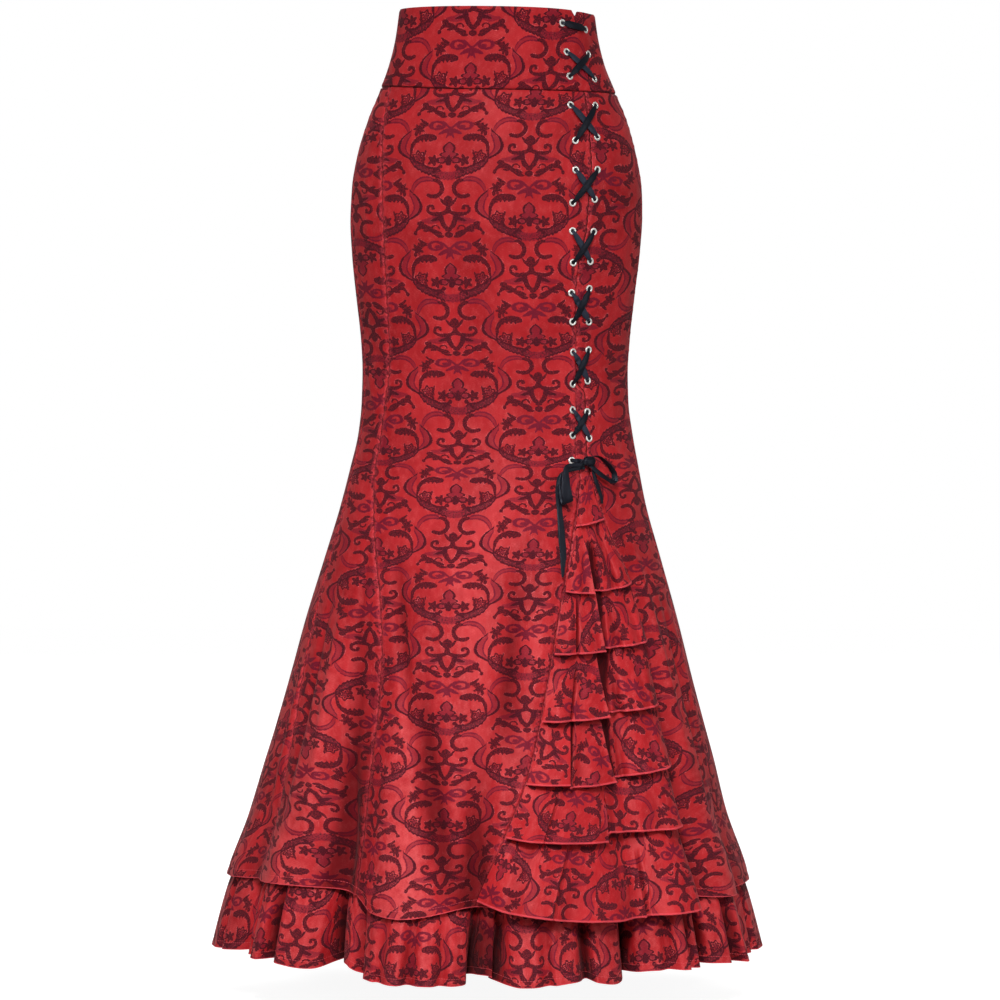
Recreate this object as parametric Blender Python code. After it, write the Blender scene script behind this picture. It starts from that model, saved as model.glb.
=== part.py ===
"""Mermaid fishtail skirt, laced down its front right side, with a godet of seven ruffled tiers and a pleated hem ruffle.

Metres, +Z up. The wearer faces -Y, and +X is the right of someone who looks at the skirt's front. The origin is at the
centre of the waist, where the body holds the skirt up. An angle runs round the skirt in degrees: 0 is the middle of the
front, 90 the +X side, 180 the middle of the back. A drop is a distance below the origin, so the top edge has a negative
one. A lift is a distance outwards from the skirt's own surface.
"""

import math

import bmesh
import bpy
import numpy as np
from mathutils import Matrix, Vector
from mathutils.bvhtree import BVHTree

# ---------------------------------------------------------------- driving sizes

PANEL_THICK = 0.0015
BAND_THICK = 0.0020
RUFFLE_THICK = 0.0013
TIER_THICK = 0.0012
RIBBON_THICK = 0.0008
SEAM_GAP = 0.0004

BAND_ROWS = 3
TIER_ROWS = 3
COLUMN_STEP = 4.8  # about how many degrees lie between two columns of a panel's mesh
WAIST_COARSER = 1.5  # a panel that widens upwards may have columns this much further apart at the waist
GODET_COLUMNS = 16

# The rows of the panels' meshes, as drops at the middle of the front. The godet starts at one of them.
LEVELS = np.array([
    0.0590, 0.1100, 0.1550, 0.2000, 0.2600, 0.3200, 0.3700, 0.3840, 0.4250,
    0.4670, 0.5250, 0.5800, 0.6400, 0.7000, 0.7600, 0.8150, 0.8650, 0.9140,
])
SPLIT_LEVEL = 6

# The hollow form: each row is a level, and its two half depths may differ.
SECTIONS = np.array([
    # drop,   half_width, centre_x, front_depth, back_depth
    (-0.0300, 0.1050, 0.0005, 0.0820, 0.0840),
    (0.0000, 0.1092, 0.0005, 0.0850, 0.0880),
    (0.0280, 0.1160, 0.0005, 0.0900, 0.0940),
    (0.0560, 0.1266, 0.0011, 0.0960, 0.1020),
    (0.0886, 0.1401, 0.0011, 0.1020, 0.1100),
    (0.1288, 0.1515, 0.0005, 0.1060, 0.1180),
    (0.1625, 0.1570, 0.0005, 0.1080, 0.1230),
    (0.1950, 0.1581, 0.0000, 0.1080, 0.1250),
    (0.2330, 0.1559, -0.0005, 0.1070, 0.1250),
    (0.2776, 0.1510, -0.0010, 0.1050, 0.1220),
    (0.3276, 0.1456, -0.0010, 0.1040, 0.1180),
    (0.3600, 0.1439, -0.0013, 0.1040, 0.1160),
    (0.3939, 0.1448, -0.0014, 0.1060, 0.1170),
    (0.4275, 0.1488, -0.0010, 0.1100, 0.1200),
    (0.4645, 0.1565, -0.0020, 0.1170, 0.1260),
    (0.5068, 0.1662, -0.0033, 0.1280, 0.1360),
    (0.5579, 0.1812, -0.0040, 0.1430, 0.1500),
    (0.6296, 0.2021, -0.0054, 0.1670, 0.1730),
    (0.6937, 0.2184, -0.0065, 0.1880, 0.1940),
    (0.7512, 0.2333, -0.0073, 0.2060, 0.2120),
    (0.7817, 0.2415, -0.0080, 0.2160, 0.2220),
    (0.8403, 0.2560, -0.0098, 0.2370, 0.2430),
    (0.9066, 0.2775, -0.0105, 0.2620, 0.2680),
    (0.9900, 0.2905, -0.0105, 0.2820, 0.2860),
])

# Where the long seams run, as angles. Below the split, the last two front edges part and the godet stands between them.
SEAMS = np.array([
    # drop, side_left, princess, centre_edge, right_edge, side_right
    (0.0500, -84.0, -67.0, 47.4, 47.4, 84.0),
    (0.1100, -83.0, -57.0, 42.5, 42.5, 84.0),
    (0.1450, -82.0, -52.5, 41.0, 41.0, 83.5),
    (0.1750, -81.0, -51.0, 38.7, 38.7, 83.0),
    (0.2130, -80.0, -50.0, 37.4, 37.4, 83.0),
    (0.2440, -80.0, -50.0, 34.8, 34.8, 83.0),
    (0.2700, -79.0, -50.5, 34.6, 34.6, 83.0),
    (0.3360, -79.0, -52.0, 36.6, 36.6, 83.0),
    (0.3700, -78.5, -53.0, 37.0, 37.8, 82.0),
    (0.3840, -78.0, -54.5, 36.9, 41.9, 82.0),
    (0.4210, -78.0, -56.0, 35.2, 41.2, 82.0),
    (0.4500, -77.0, -56.0, 34.3, 40.1, 82.0),
    (0.4690, -77.0, -55.0, 35.6, 40.8, 82.0),
    (0.4880, -76.0, -53.0, 34.3, 41.4, 82.0),
    (0.5245, -75.0, -48.0, 30.3, 44.5, 81.0),
    (0.5600, -74.0, -43.0, 26.5, 48.0, 81.0),
    (0.5910, -73.0, -39.0, 23.3, 50.0, 81.0),
    (0.6560, -69.5, -34.0, 18.1, 51.0, 80.0),
    (0.7260, -66.5, -32.3, 13.5, 50.5, 80.0),
    (0.7875, -64.5, -31.9, 9.1, 51.0, 79.5),
    (0.8430, -62.5, -31.2, 4.0, 51.5, 77.0),
    (0.9090, -61.0, -30.5, -2.2, 50.8, 73.0),
    (0.9300, -61.0, -30.4, -3.5, 50.6, 72.0),
])
SIDE_LEFT, PRINCESS, CENTRE_EDGE, RIGHT_EDGE, SIDE_RIGHT = range(1, 6)

TOP_EDGE = np.array([
    # angle, drop
    (-180.0, -0.0300),
    (-60.0, -0.0310),
    (0.0, -0.0300),
    (49.5, -0.0275),
    (52.4, -0.0205),
    (55.0, -0.0262),
    (75.0, -0.0250),
    (180.0, -0.0300),
])
NOTCH_ANGLES = (49.5, 52.4, 55.0)

WAIST_SEAM = np.array([
    # angle, drop
    (-180.0, 0.0560),
    (-80.0, 0.0530),
    (-12.0, 0.0590),
    (60.0, 0.0605),
    (180.0, 0.0560),
])

HEM = np.array([
    # angle, drop
    (-180.0, 0.9120),
    (-120.0, 0.9080),
    (-82.0, 0.9035),
    (-50.0, 0.8975),
    (-31.0, 0.9040),
    (-25.0, 0.9200),
    (-17.0, 0.9235),
    (-3.0, 0.9137),
    (20.0, 0.9120),
    (51.0, 0.9060),
    (57.0, 0.9150),
    (66.0, 0.9175),
    (90.0, 0.9150),
    (180.0, 0.9120),
])

# Soft folds of the flared cloth. Depth is at the hem, positive for a ridge, and the fold fades out upwards at its start.
FLUTES = np.array([
    # angle, reach, depth, start
    (-77.0, 7.0, 0.006, 0.60),
    (-66.0, 5.5, -0.010, 0.66),
    (-52.0, 8.0, 0.014, 0.50),
    (-36.5, 5.0, -0.022, 0.56),
    (-28.0, 5.0, -0.008, 0.46),
    (-19.0, 7.0, 0.014, 0.50),
    (-2.0, 4.5, -0.020, 0.70),
    (12.0, 7.0, 0.008, 0.66),
    (34.5, 5.0, -0.018, 0.52),
    (46.0, 6.0, 0.010, 0.56),
    (55.0, 4.5, -0.012, 0.62),
    (66.0, 6.0, 0.010, 0.56),
    (78.0, 5.0, -0.008, 0.66),
    (97.0, 8.0, 0.010, 0.56),
    (112.0, 6.0, -0.018, 0.62),
    (127.0, 8.5, 0.014, 0.50),
    (143.0, 6.0, -0.020, 0.58),
    (157.0, 8.0, 0.012, 0.54),
    (173.0, 6.5, -0.016, 0.50),
    (189.0, 8.5, 0.014, 0.52),
    (205.0, 5.5, -0.022, 0.60),
    (219.0, 8.0, 0.012, 0.50),
    (235.0, 6.0, -0.018, 0.64),
    (250.0, 8.0, 0.012, 0.54),
    (264.0, 5.5, -0.014, 0.62),
    (273.0, 5.0, 0.006, 0.66),
])
FLUTE_FULL_DROP = 0.915
FLUTE_GROWTH = 1.5

# The godet's tiers, from the top: hem drops at the left edge, the middle and the right edge, and how far the hem stands out.
TIERS = (
    # name,    left,   middle, right,  columns, stand_out
    ("tier_1", 0.5230, 0.5200, 0.5155, 8, 0.007),
    ("tier_2", 0.5910, 0.5925, 0.5820, 16, 0.012),
    ("tier_3", 0.6555, 0.6535, 0.6450, 16, 0.014),
    ("tier_4", 0.7245, 0.7215, 0.7115, 16, 0.015),
    ("tier_5", 0.7875, 0.7870, 0.7730, 16, 0.016),
    ("tier_6", 0.8410, 0.8480, 0.8370, 16, 0.017),
    ("tier_7", 0.9070, 0.9270, 0.9210, 16, 0.018),
)
TIER_TOP_DROP = 0.4740  # where the first tier is sewn on, below the bow
TIER_OVERLAP = 0.0170  # how far a tier's sewn edge lies above the hem of the tier over it
TIER_BASE_LIFT = 0.0018  # of the first tier's sewn edge
TIER_BASE_STEP = 0.00014  # more on each next tier, because the folds under it are deeper
TIER_EDGE_SHARE = 0.40  # a tier's side edges are sewn down, and stand out by this share of its middle
TIER_GROWTH = 1.35

TIER_FOLDS = (
    # tier,    across, reach, depth
    ("tier_2", 0.62, 0.09, 0.008),
    ("tier_2", 0.25, 0.10, 0.004),
    ("tier_3", 0.58, 0.08, 0.009),
    ("tier_3", 0.22, 0.10, 0.004),
    ("tier_3", 0.84, 0.07, 0.004),
    ("tier_4", 0.57, 0.07, 0.010),
    ("tier_4", 0.24, 0.09, 0.005),
    ("tier_4", 0.83, 0.06, 0.004),
    ("tier_5", 0.58, 0.07, 0.010),
    ("tier_5", 0.32, 0.07, 0.007),
    ("tier_5", 0.82, 0.06, 0.004),
    ("tier_6", 0.51, 0.08, 0.008),
    ("tier_6", 0.22, 0.09, 0.005),
    ("tier_6", 0.78, 0.07, 0.006),
    ("tier_7", 0.38, 0.08, 0.006),
    ("tier_7", 0.14, 0.06, 0.006),
    ("tier_7", 0.66, 0.08, 0.005),
    ("tier_7", 0.88, 0.06, 0.005),
)

# The pleats of the hem ruffle: where each one folds in, how deep at the bottom edge, and half its width in degrees.
PLEATS = np.array([
    # angle, depth, reach
    (-77.0, 0.014, 3.0),
    (-66.0, 0.020, 3.4),
    (-57.5, 0.012, 2.6),
    (-50.0, 0.022, 3.0),
    (-36.8, 0.024, 3.4),
    (-29.0, 0.014, 2.8),
    (-21.5, 0.010, 2.6),
    (-15.3, 0.012, 2.4),
    (-9.0, 0.010, 2.4),
    (-2.4, 0.028, 2.4),
    (3.4, 0.026, 2.4),
    (12.0, 0.010, 2.4),
    (20.8, 0.020, 2.8),
    (33.2, 0.028, 3.4),
    (41.5, 0.010, 2.4),
    (47.5, 0.016, 2.4),
    (55.0, 0.022, 3.0),
    (64.0, 0.022, 2.8),
    (77.0, 0.018, 3.4),
    (86.0, 0.012, 2.6),
    (97.0, 0.018, 3.0),
    (112.0, 0.024, 3.6),
    (121.0, 0.014, 2.8),
    (132.0, 0.018, 3.0),
    (143.0, 0.024, 3.6),
    (153.0, 0.014, 2.8),
    (163.0, 0.018, 3.0),
    (173.0, 0.024, 3.6),
    (184.0, 0.014, 3.0),
    (194.5, 0.018, 3.0),
    (205.0, 0.024, 3.6),
    (215.0, 0.014, 2.8),
    (225.0, 0.020, 3.0),
    (235.0, 0.024, 3.6),
    (246.0, 0.014, 3.0),
    (255.0, 0.018, 2.8),
    (264.0, 0.022, 3.4),
])
RUFFLE_SEAMS = (-90.0, 91.5)  # the side seams of the ruffle, each on the flat between two pleats
RUFFLE_TUCK = 0.022  # how far the ruffle's sewn edge lies above the hem that covers it
RUFFLE_TOP_LIFT = -0.0059
RUFFLE_CREST = 0.007
RUFFLE_TOP_DEPTH_SHARE = 0.30
RUFFLE_LEVELS = (0.0, 0.30, 0.65, 1.0)  # below the covering hem, as shares of what shows

RUFFLE_HEM = np.array([
    # angle, drop
    (-180.0, 0.9850),
    (-120.0, 0.9830),
    (-80.0, 0.9805),
    (-62.0, 0.9760),
    (-50.0, 0.9765),
    (-41.0, 0.9830),
    (-36.0, 0.9750),
    (-32.5, 0.9765),
    (-29.0, 0.9860),
    (-15.0, 0.9905),
    (-5.4, 0.9925),
    (0.0, 0.9830),
    (7.0, 0.9920),
    (20.0, 0.9880),
    (28.0, 0.9935),
    (34.0, 0.9870),
    (41.0, 0.9835),
    (56.0, 0.9850),
    (78.0, 0.9890),
    (120.0, 0.9860),
    (180.0, 0.9850),
])

# The lacing: the x and drop of each row's left and right eyelet. A bar joins the first row, and a cross each later pair.
EYELETS = (
    # left_x, left_drop, right_x, right_drop
    (0.0704, -0.0130, 0.0956, -0.0072),
    (0.0751, 0.0180, 0.0985, 0.0193),
    (0.0782, 0.0443, 0.1049, 0.0462),
    (0.0791, 0.0752, 0.1058, 0.0748),
    (0.0840, 0.1130, 0.1075, 0.1090),
    (0.0843, 0.1445, 0.1078, 0.1438),
    (0.0811, 0.1795, 0.1047, 0.1754),
    (0.0811, 0.2094, 0.1037, 0.2100),
    (0.0817, 0.2430, 0.1001, 0.2415),
    (0.0801, 0.2752, 0.0991, 0.2707),
    (0.0812, 0.3060, 0.0987, 0.3060),
    (0.0817, 0.3383, 0.0984, 0.3361),
    (0.0812, 0.3723, 0.0974, 0.3691),
    (0.0812, 0.3999, 0.0971, 0.4023),
    (0.0811, 0.4271, 0.0990, 0.4304),
    (0.0804, 0.4538, 0.0983, 0.4541),
)
EYELET_RADIUS = 0.00325  # to the middle of the ring's wall
EYELET_WALL = 0.00085
EYELET_FLATTEN = 0.6
LACE_LIFT = 0.0022  # of a strap's outer face over an eyelet
LACE_ARCH = 0.0016  # how much higher a strap is halfway
LACE_WIDTH = 0.0068
LACE_END_WIDTH = 0.0036
LACE_STEPS = 6

KNOT = {"x": 0.0972, "drop": 0.4555, "lift": 0.0068, "radii": (0.0078, 0.0048, 0.0062)}

# Ribbons of the bow, as the line that each one follows. A turn of 0 lies flat on the cloth, and 90 stands on its edge.
LEFT_LOOP = (
    # x,     drop,   lift,   width,  turn
    (0.0930, 0.4560, 0.0090, 0.0040, 0.0),
    (0.0842, 0.4592, 0.0100, 0.0038, 0.0),
    (0.0756, 0.4600, 0.0115, 0.0038, 0.0),
    (0.0700, 0.4635, 0.0130, 0.0052, 0.0),
    (0.0690, 0.4720, 0.0140, 0.0076, 0.0),
    (0.0690, 0.4820, 0.0145, 0.0096, 0.0),
    (0.0702, 0.4920, 0.0140, 0.0116, 0.0),
    (0.0722, 0.5000, 0.0110, 0.0124, 0.0),
    (0.0715, 0.4985, 0.0075, 0.0116, 0.0),
    (0.0690, 0.4900, 0.0062, 0.0096, 0.0),
    (0.0672, 0.4790, 0.0060, 0.0070, 0.0),
    (0.0690, 0.4690, 0.0062, 0.0048, 0.0),
    (0.0756, 0.4640, 0.0062, 0.0036, 0.0),
    (0.0850, 0.4610, 0.0058, 0.0036, 0.0),
    (0.0930, 0.4580, 0.0058, 0.0036, 0.0),
)
RIGHT_LOOP = (
    # x,     drop,   lift,   width,  turn
    (0.0980, 0.4525, 0.0072, 0.0060, 80.0),
    (0.1050, 0.4502, 0.0072, 0.0062, 80.0),
    (0.1110, 0.4513, 0.0074, 0.0066, 80.0),
    (0.1180, 0.4568, 0.0078, 0.0070, 74.0),
    (0.1245, 0.4645, 0.0080, 0.0072, 68.0),
    (0.1280, 0.4725, 0.0080, 0.0074, 62.0),
    (0.1270, 0.4785, 0.0080, 0.0074, 62.0),
    (0.1222, 0.4775, 0.0078, 0.0072, 62.0),
    (0.1160, 0.4715, 0.0074, 0.0068, 60.0),
    (0.1090, 0.4655, 0.0070, 0.0062, 66.0),
    (0.1010, 0.4595, 0.0070, 0.0056, 74.0),
)
LEAD = (
    # x,     drop,   lift,   width,  turn
    (0.0804, 0.4538, 0.0021, 0.0036, 0.0),
    (0.0850, 0.4549, 0.0032, 0.0050, 0.0),
    (0.0930, 0.4556, 0.0050, 0.0050, 0.0),
)
LEFT_TAIL = (
    # x,     drop,   lift,   width,  turn
    (0.0925, 0.4622, 0.0045, 0.0034, 0.0),
    (0.0840, 0.4632, 0.0044, 0.0036, 0.0),
    (0.0745, 0.4655, 0.0036, 0.0040, 0.0),
    (0.0680, 0.4700, 0.0030, 0.0050, 0.0),
    (0.0655, 0.4780, 0.0030, 0.0058, 0.0),
    (0.0648, 0.4880, 0.0030, 0.0060, 0.0),
    (0.0654, 0.4980, 0.0034, 0.0060, 0.0),
    (0.0664, 0.5105, 0.0040, 0.0062, 0.0),
    (0.0674, 0.5240, 0.0040, 0.0074, 0.0),
    (0.0683, 0.5380, 0.0040, 0.0080, 0.0),
    (0.0693, 0.5535, 0.0042, 0.0070, 0.0),
    (0.0690, 0.5660, 0.0042, 0.0052, 0.0),
    (0.0686, 0.5770, 0.0042, 0.0020, 0.0),
)
RIGHT_TAIL = (
    # x,     drop,   lift,   width,  turn
    (0.1000, 0.4618, 0.0064, 0.0034, 0.0),
    (0.1016, 0.4700, 0.0056, 0.0044, 0.0),
    (0.1035, 0.4775, 0.0058, 0.0048, 0.0),
    (0.1054, 0.4850, 0.0068, 0.0048, 0.0),
    (0.1072, 0.4925, 0.0076, 0.0042, 0.0),
    (0.1090, 0.5015, 0.0080, 0.0018, 0.0),
)
RIBBON_STEPS = 2  # mesh steps from one row of a ribbon's line to the next

# ---------------------------------------------------------------- colours

BROCADE = (0.30, 0.012, 0.016, 1.0)
RIBBON_BLACK = (0.008, 0.008, 0.012, 1.0)
EYELET_SILVER = (0.72, 0.70, 0.67, 1.0)


def material(name, colour, roughness, metallic=0.0):
    """A plain Principled material with the piece's own colour."""
    made = bpy.data.materials.new(name)
    made.use_nodes = True
    shader = made.node_tree.nodes["Principled BSDF"]
    shader.inputs["Base Color"].default_value = colour
    shader.inputs["Roughness"].default_value = roughness
    shader.inputs["Metallic"].default_value = metallic
    return made


def cloth_material(name):
    return material(f"{name}_brocade", BROCADE, 0.42)


def ribbon_material(name):
    return material(f"{name}_satin", RIBBON_BLACK, 0.35)


# ---------------------------------------------------------------- the skirt's form


def curve_value(table, column, at):
    """One column of a table at any key, on a smooth curve through the rows that never overshoots them."""
    keys, values = table[:, 0], table[:, column]
    steps = np.diff(keys)
    rises = np.diff(values) / steps
    before, after = rises[:-1], rises[1:]
    together = before * after > 0
    total = np.where(together, before + after, 1.0)
    inner = np.where(together, 2 * before * after / total, 0.0)
    slopes = np.concatenate([rises[:1], inner, rises[-1:]])
    at = np.clip(at, keys[0], keys[-1])
    i = np.clip(np.searchsorted(keys, at) - 1, 0, len(keys) - 2)
    step = steps[i]
    t = (at - keys[i]) / step
    start = (1 + 2 * t) * (1 - t) ** 2 * values[i] + t * (1 - t) ** 2 * step * slopes[i]
    end = t**2 * (3 - 2 * t) * values[i + 1] + t**2 * (t - 1) * step * slopes[i + 1]
    return start + end


def turned(angle):
    """An angle as its equal from -180 to 180."""
    return (np.asarray(angle) + 180.0) % 360.0 - 180.0


def edge_drop(table, angle):
    return curve_value(table, 1, turned(angle))


def seam_angle(seam, drop):
    return curve_value(SEAMS, seam, drop)


def flute_lift(angle, drop):
    """How far the soft folds move the cloth in or out."""
    lift = np.zeros(np.broadcast(angle, drop).shape)
    for centre, reach, depth, start in FLUTES:
        grown = np.clip((drop - start) / (FLUTE_FULL_DROP - start), 0.0, 1.3) ** FLUTE_GROWTH
        lift = lift + depth * grown * np.exp(-((turned(angle - centre) / reach) ** 2))
    return lift


def skirt_surface(angle, drop, lift=0.0):
    """Points of the skirt's outer face, moved out by lift."""
    angle, drop, lift = np.broadcast_arrays(angle, drop, lift)
    half_width, centre_x, front, back = (curve_value(SECTIONS, k, drop) for k in range(1, 5))
    turn = np.radians(angle)
    depth = np.where(np.cos(turn) > 0, front, back)
    out_x, out_y = np.sin(turn) / half_width, -np.cos(turn) / depth
    length = np.hypot(out_x, out_y)
    lift = lift + flute_lift(angle, drop)
    x = centre_x + half_width * np.sin(turn) + lift * out_x / length
    y = -depth * np.cos(turn) + lift * out_y / length
    return np.stack([x, y, -drop], axis=-1)


# ---------------------------------------------------------------- making meshes


def new_object(name, points, faces, look):
    mesh = bpy.data.meshes.new(name)
    mesh.from_pydata([tuple(map(float, p)) for p in points], [], faces)
    mesh.materials.append(look)
    made = bpy.data.objects.new(name, mesh)
    PART.objects.link(made)
    return made


def grid_faces(rows, columns, first=0, flip=False, halved=False):
    """Quads between neighbouring points of a grid whose numbering starts at first, or triangles where they are halved."""
    faces = []
    for r in range(rows - 1):
        for c in range(columns - 1):
            a = first + r * columns + c
            corners = (a, a + columns, a + columns + 1, a + 1)
            for face in (corners[:3], (corners[0], *corners[2:])) if halved else (corners,):
                faces.append(face[::-1] if flip else face)
    return faces


def rim_faces(rows, columns):
    """Quads that join the outer grid's border to the inner grid's."""
    border = [c for c in range(columns)]
    border += [r * columns + columns - 1 for r in range(1, rows)]
    border += [(rows - 1) * columns + c for c in range(columns - 2, -1, -1)]
    border += [r * columns for r in range(rows - 2, 0, -1)]
    count = rows * columns
    return [
        (a, b, b + count, a + count) for a, b in zip(border, border[1:] + border[:1], strict=True)
    ]


def unit(vectors):
    return vectors / np.linalg.norm(vectors, axis=-1, keepdims=True)


def grid_normals(surface, angle, drop):
    """Outward normals of a surface that is given as a function of angle and drop."""
    step = 0.25
    fall = 0.0015
    across = surface(angle + step, drop) - surface(angle - step, drop)
    down = surface(angle, drop + fall) - surface(angle, drop - fall)
    return unit(np.cross(down, across))


def pulled_in(points, gap):
    """A grid of points with each border line moved inwards by gap, along the grid."""
    moved = points.copy()
    moved[:, 0] += unit(points[:, 1] - points[:, 0]) * gap
    moved[:, -1] += unit(points[:, -2] - points[:, -1]) * gap
    moved[0] += unit(points[1] - points[0]) * gap
    return moved


def cloth_wall(name, surface, angle, drop, thick, halved=False):
    """A closed wall of cloth on a surface: its outer face is the surface, and its inner face lies thick inside."""
    outer = surface(angle, drop)
    inner = outer - thick * grid_normals(surface, angle, drop)
    outer, inner = pulled_in(outer, SEAM_GAP / 2), pulled_in(inner, SEAM_GAP / 2)
    rows, columns = angle.shape
    faces = grid_faces(rows, columns, halved=halved)
    faces += grid_faces(rows, columns, rows * columns, flip=True, halved=halved)
    faces += rim_faces(rows, columns)
    points = np.concatenate([outer.reshape(-1, 3), inner.reshape(-1, 3)])
    made = new_object(name, points, faces, cloth_material(name))
    made.data.shade_smooth()
    made.data.set_sharp_from_angle(angle=math.radians(50))
    return made


# ---------------------------------------------------------------- waistband and panels


def stepped(knots, step):
    """The knots, with each stretch between two of them divided into parts of about step."""
    found = [knots[0]]
    for low, high in zip(knots, knots[1:]):
        count = max(1, round((high - low) / step))
        found += list(np.linspace(low, high, count + 1)[1:])
    return np.array(found)


def waistband(name, low, high, notch=()):
    angles = stepped([low, *notch, high], COLUMN_STEP)
    share = np.linspace(0.0, 1.0, BAND_ROWS + 1)[:, None]
    top, bottom = edge_drop(TOP_EDGE, angles), edge_drop(WAIST_SEAM, angles)
    drop = top + (bottom - top) * share
    angle = np.broadcast_to(angles, drop.shape)
    return cloth_wall(name, skirt_surface, angle, drop, BAND_THICK)


def panel_grid(left, right, across, first_level=0):
    """Angles and drops of a panel between two edges, each a function of drop, with its rows at the levels."""
    waist_drop, hem_drop = LEVELS[0], LEVELS[-1]
    waist_angle = left(waist_drop) + (right(waist_drop) - left(waist_drop)) * across
    hem_angle = left(hem_drop) + (right(hem_drop) - left(hem_drop)) * across
    top, bottom = edge_drop(WAIST_SEAM, waist_angle), edge_drop(HEM, hem_angle)
    share = (LEVELS[first_level:, None] - waist_drop) / (hem_drop - waist_drop)
    drop = top + SEAM_GAP + (bottom - top - SEAM_GAP) * share
    angle = left(drop) + (right(drop) - left(drop)) * across
    return angle, drop


def fold_columns(left, right):
    """Shares of the way across a panel, with a column on each soft fold at the hem and enough of them at the waist."""
    low, high = float(left(LEVELS[-1])), float(right(LEVELS[-1]))
    waist_width = float(right(LEVELS[0]) - left(LEVELS[0]))
    step = COLUMN_STEP * min(1.0, WAIST_COARSER * (high - low) / waist_width)
    centres = [c + turn for turn in (0.0, 360.0) for c in FLUTES[:, 0]]
    margin = COLUMN_STEP / 3
    knots = [low] + sorted(c for c in centres if low + margin < c < high - margin) + [high]
    return (stepped(knots, step) - low) / (high - low)


def seam(number, turn=0.0):
    return lambda drop: seam_angle(number, drop) + turn


def back_seam(drop):
    return np.full_like(np.asarray(drop, float), 180.0)


def panels():
    made = {}
    for name, left, right in (
        ("front_left", seam(SIDE_LEFT), seam(PRINCESS)),
        ("front_centre", seam(PRINCESS), seam(CENTRE_EDGE)),
        ("front_right", seam(RIGHT_EDGE), seam(SIDE_RIGHT)),
        ("back_right", seam(SIDE_RIGHT), back_seam),
        ("back_left", back_seam, seam(SIDE_LEFT, 360.0)),
    ):
        angle, drop = panel_grid(left, right, fold_columns(left, right))
        made[name] = cloth_wall(name, skirt_surface, angle, drop, PANEL_THICK)
    return made


def godet_insert():
    """The long triangle that the tiers are sewn to, let in between the two front edges below the split."""
    across = np.linspace(0.0, 1.0, GODET_COLUMNS + 1)
    left, right = seam(CENTRE_EDGE), seam(RIGHT_EDGE)
    angle, drop = panel_grid(left, right, across, SPLIT_LEVEL)
    return cloth_wall("godet_insert", skirt_surface, angle, drop, PANEL_THICK)


# ---------------------------------------------------------------- tiers of the godet


def bend(left, middle, right, across):
    """A value across a tier, on the parabola through its left, middle and right."""
    away = 2.0 * across - 1.0
    return middle + (right - left) / 2 * away + ((left + right) / 2 - middle) * away**2


def tier_sag(tier, across):
    return bend(tier[1], tier[2], tier[3], across)


def tier_lift(tier, across, share):
    """How far a tier stands off the insert: little at its sewn top and sides, most at its hem between the folds."""
    away = np.minimum(1.0, np.minimum(across, 1.0 - across) / 0.14)
    side = TIER_EDGE_SHARE + (1.0 - TIER_EDGE_SHARE) * np.sin(away * math.pi / 2)
    out = tier[5] * side
    for name, centre, reach, depth in TIER_FOLDS:
        if name == tier[0]:
            out = out - depth * np.exp(-(((across - centre) / reach) ** 2))
    base = TIER_BASE_LIFT + TIER_BASE_STEP * TIERS.index(tier)
    return base + out * np.clip(share, 0.0, 1.2) ** TIER_GROWTH


def tier(number):
    row = TIERS[number]
    across = np.linspace(0.0, 1.0, row[4] + 1)
    share = np.linspace(0.0, 1.0, TIER_ROWS + 1)[:, None]
    bottom = tier_sag(row, across)
    if number:
        top = tier_sag(TIERS[number - 1], across) - TIER_OVERLAP
    else:
        top = np.full_like(bottom, TIER_TOP_DROP)
    drop = top + (bottom - top) * share
    low, high = seam_angle(CENTRE_EDGE, drop), seam_angle(RIGHT_EDGE, drop)
    angle = low + (high - low) * across

    def surface(at_angle, at_drop):
        left, right = seam_angle(CENTRE_EDGE, at_drop), seam_angle(RIGHT_EDGE, at_drop)
        u = np.clip((at_angle - left) / (right - left), 0.0, 1.0)
        v = (at_drop - top) / (bottom - top)
        return skirt_surface(at_angle, at_drop, tier_lift(row, u, np.maximum(v, 0.0)))

    return cloth_wall(row[0], surface, angle, drop, TIER_THICK)


# ---------------------------------------------------------------- hem ruffle


def pleat_depth(angle):
    """How far the ruffle folds in at an angle, at its bottom edge."""
    depth = np.zeros_like(angle)
    for centre, deep, reach in PLEATS:
        away = np.clip(np.abs(turned(angle - centre)) / reach, 0.0, 1.0)
        depth = depth + deep * (1.0 + np.cos(math.pi * away)) / 2
    return depth


def ruffle_surface(angle, drop):
    covered = edge_drop(HEM, angle)
    shown = np.clip((drop - covered) / (edge_drop(RUFFLE_HEM, angle) - covered), 0.0, 1.1)
    crest = RUFFLE_CREST * shown**0.8
    depth = RUFFLE_TOP_DEPTH_SHARE + (1.0 - RUFFLE_TOP_DEPTH_SHARE) * shown
    lift = RUFFLE_TOP_LIFT + crest - pleat_depth(angle) * depth
    return skirt_surface(angle, drop, lift)


def ruffle_angles(low, high):
    """The columns of a ruffle: each pleat's two edges and its fold, and the middle of the flat that follows it."""
    centres = [c + turn for turn in (0.0, 360.0) for c in PLEATS[:, 0] if low < c + turn < high]
    reaches = {round(c % 360.0, 3): reach for c, _, reach in PLEATS}
    angles = [low, high]
    for i, centre in enumerate(centres):
        reach = reaches[round(centre % 360.0, 3)]
        angles += [centre - reach, centre, centre + reach]
        if i + 1 < len(centres):
            next_reach = reaches[round(centres[i + 1] % 360.0, 3)]
            flat = (centres[i + 1] - next_reach) - (centre + reach)
            if flat > 1.6:
                angles.append(centre + reach + flat / 2)
    return np.array(sorted(angles))


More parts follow.
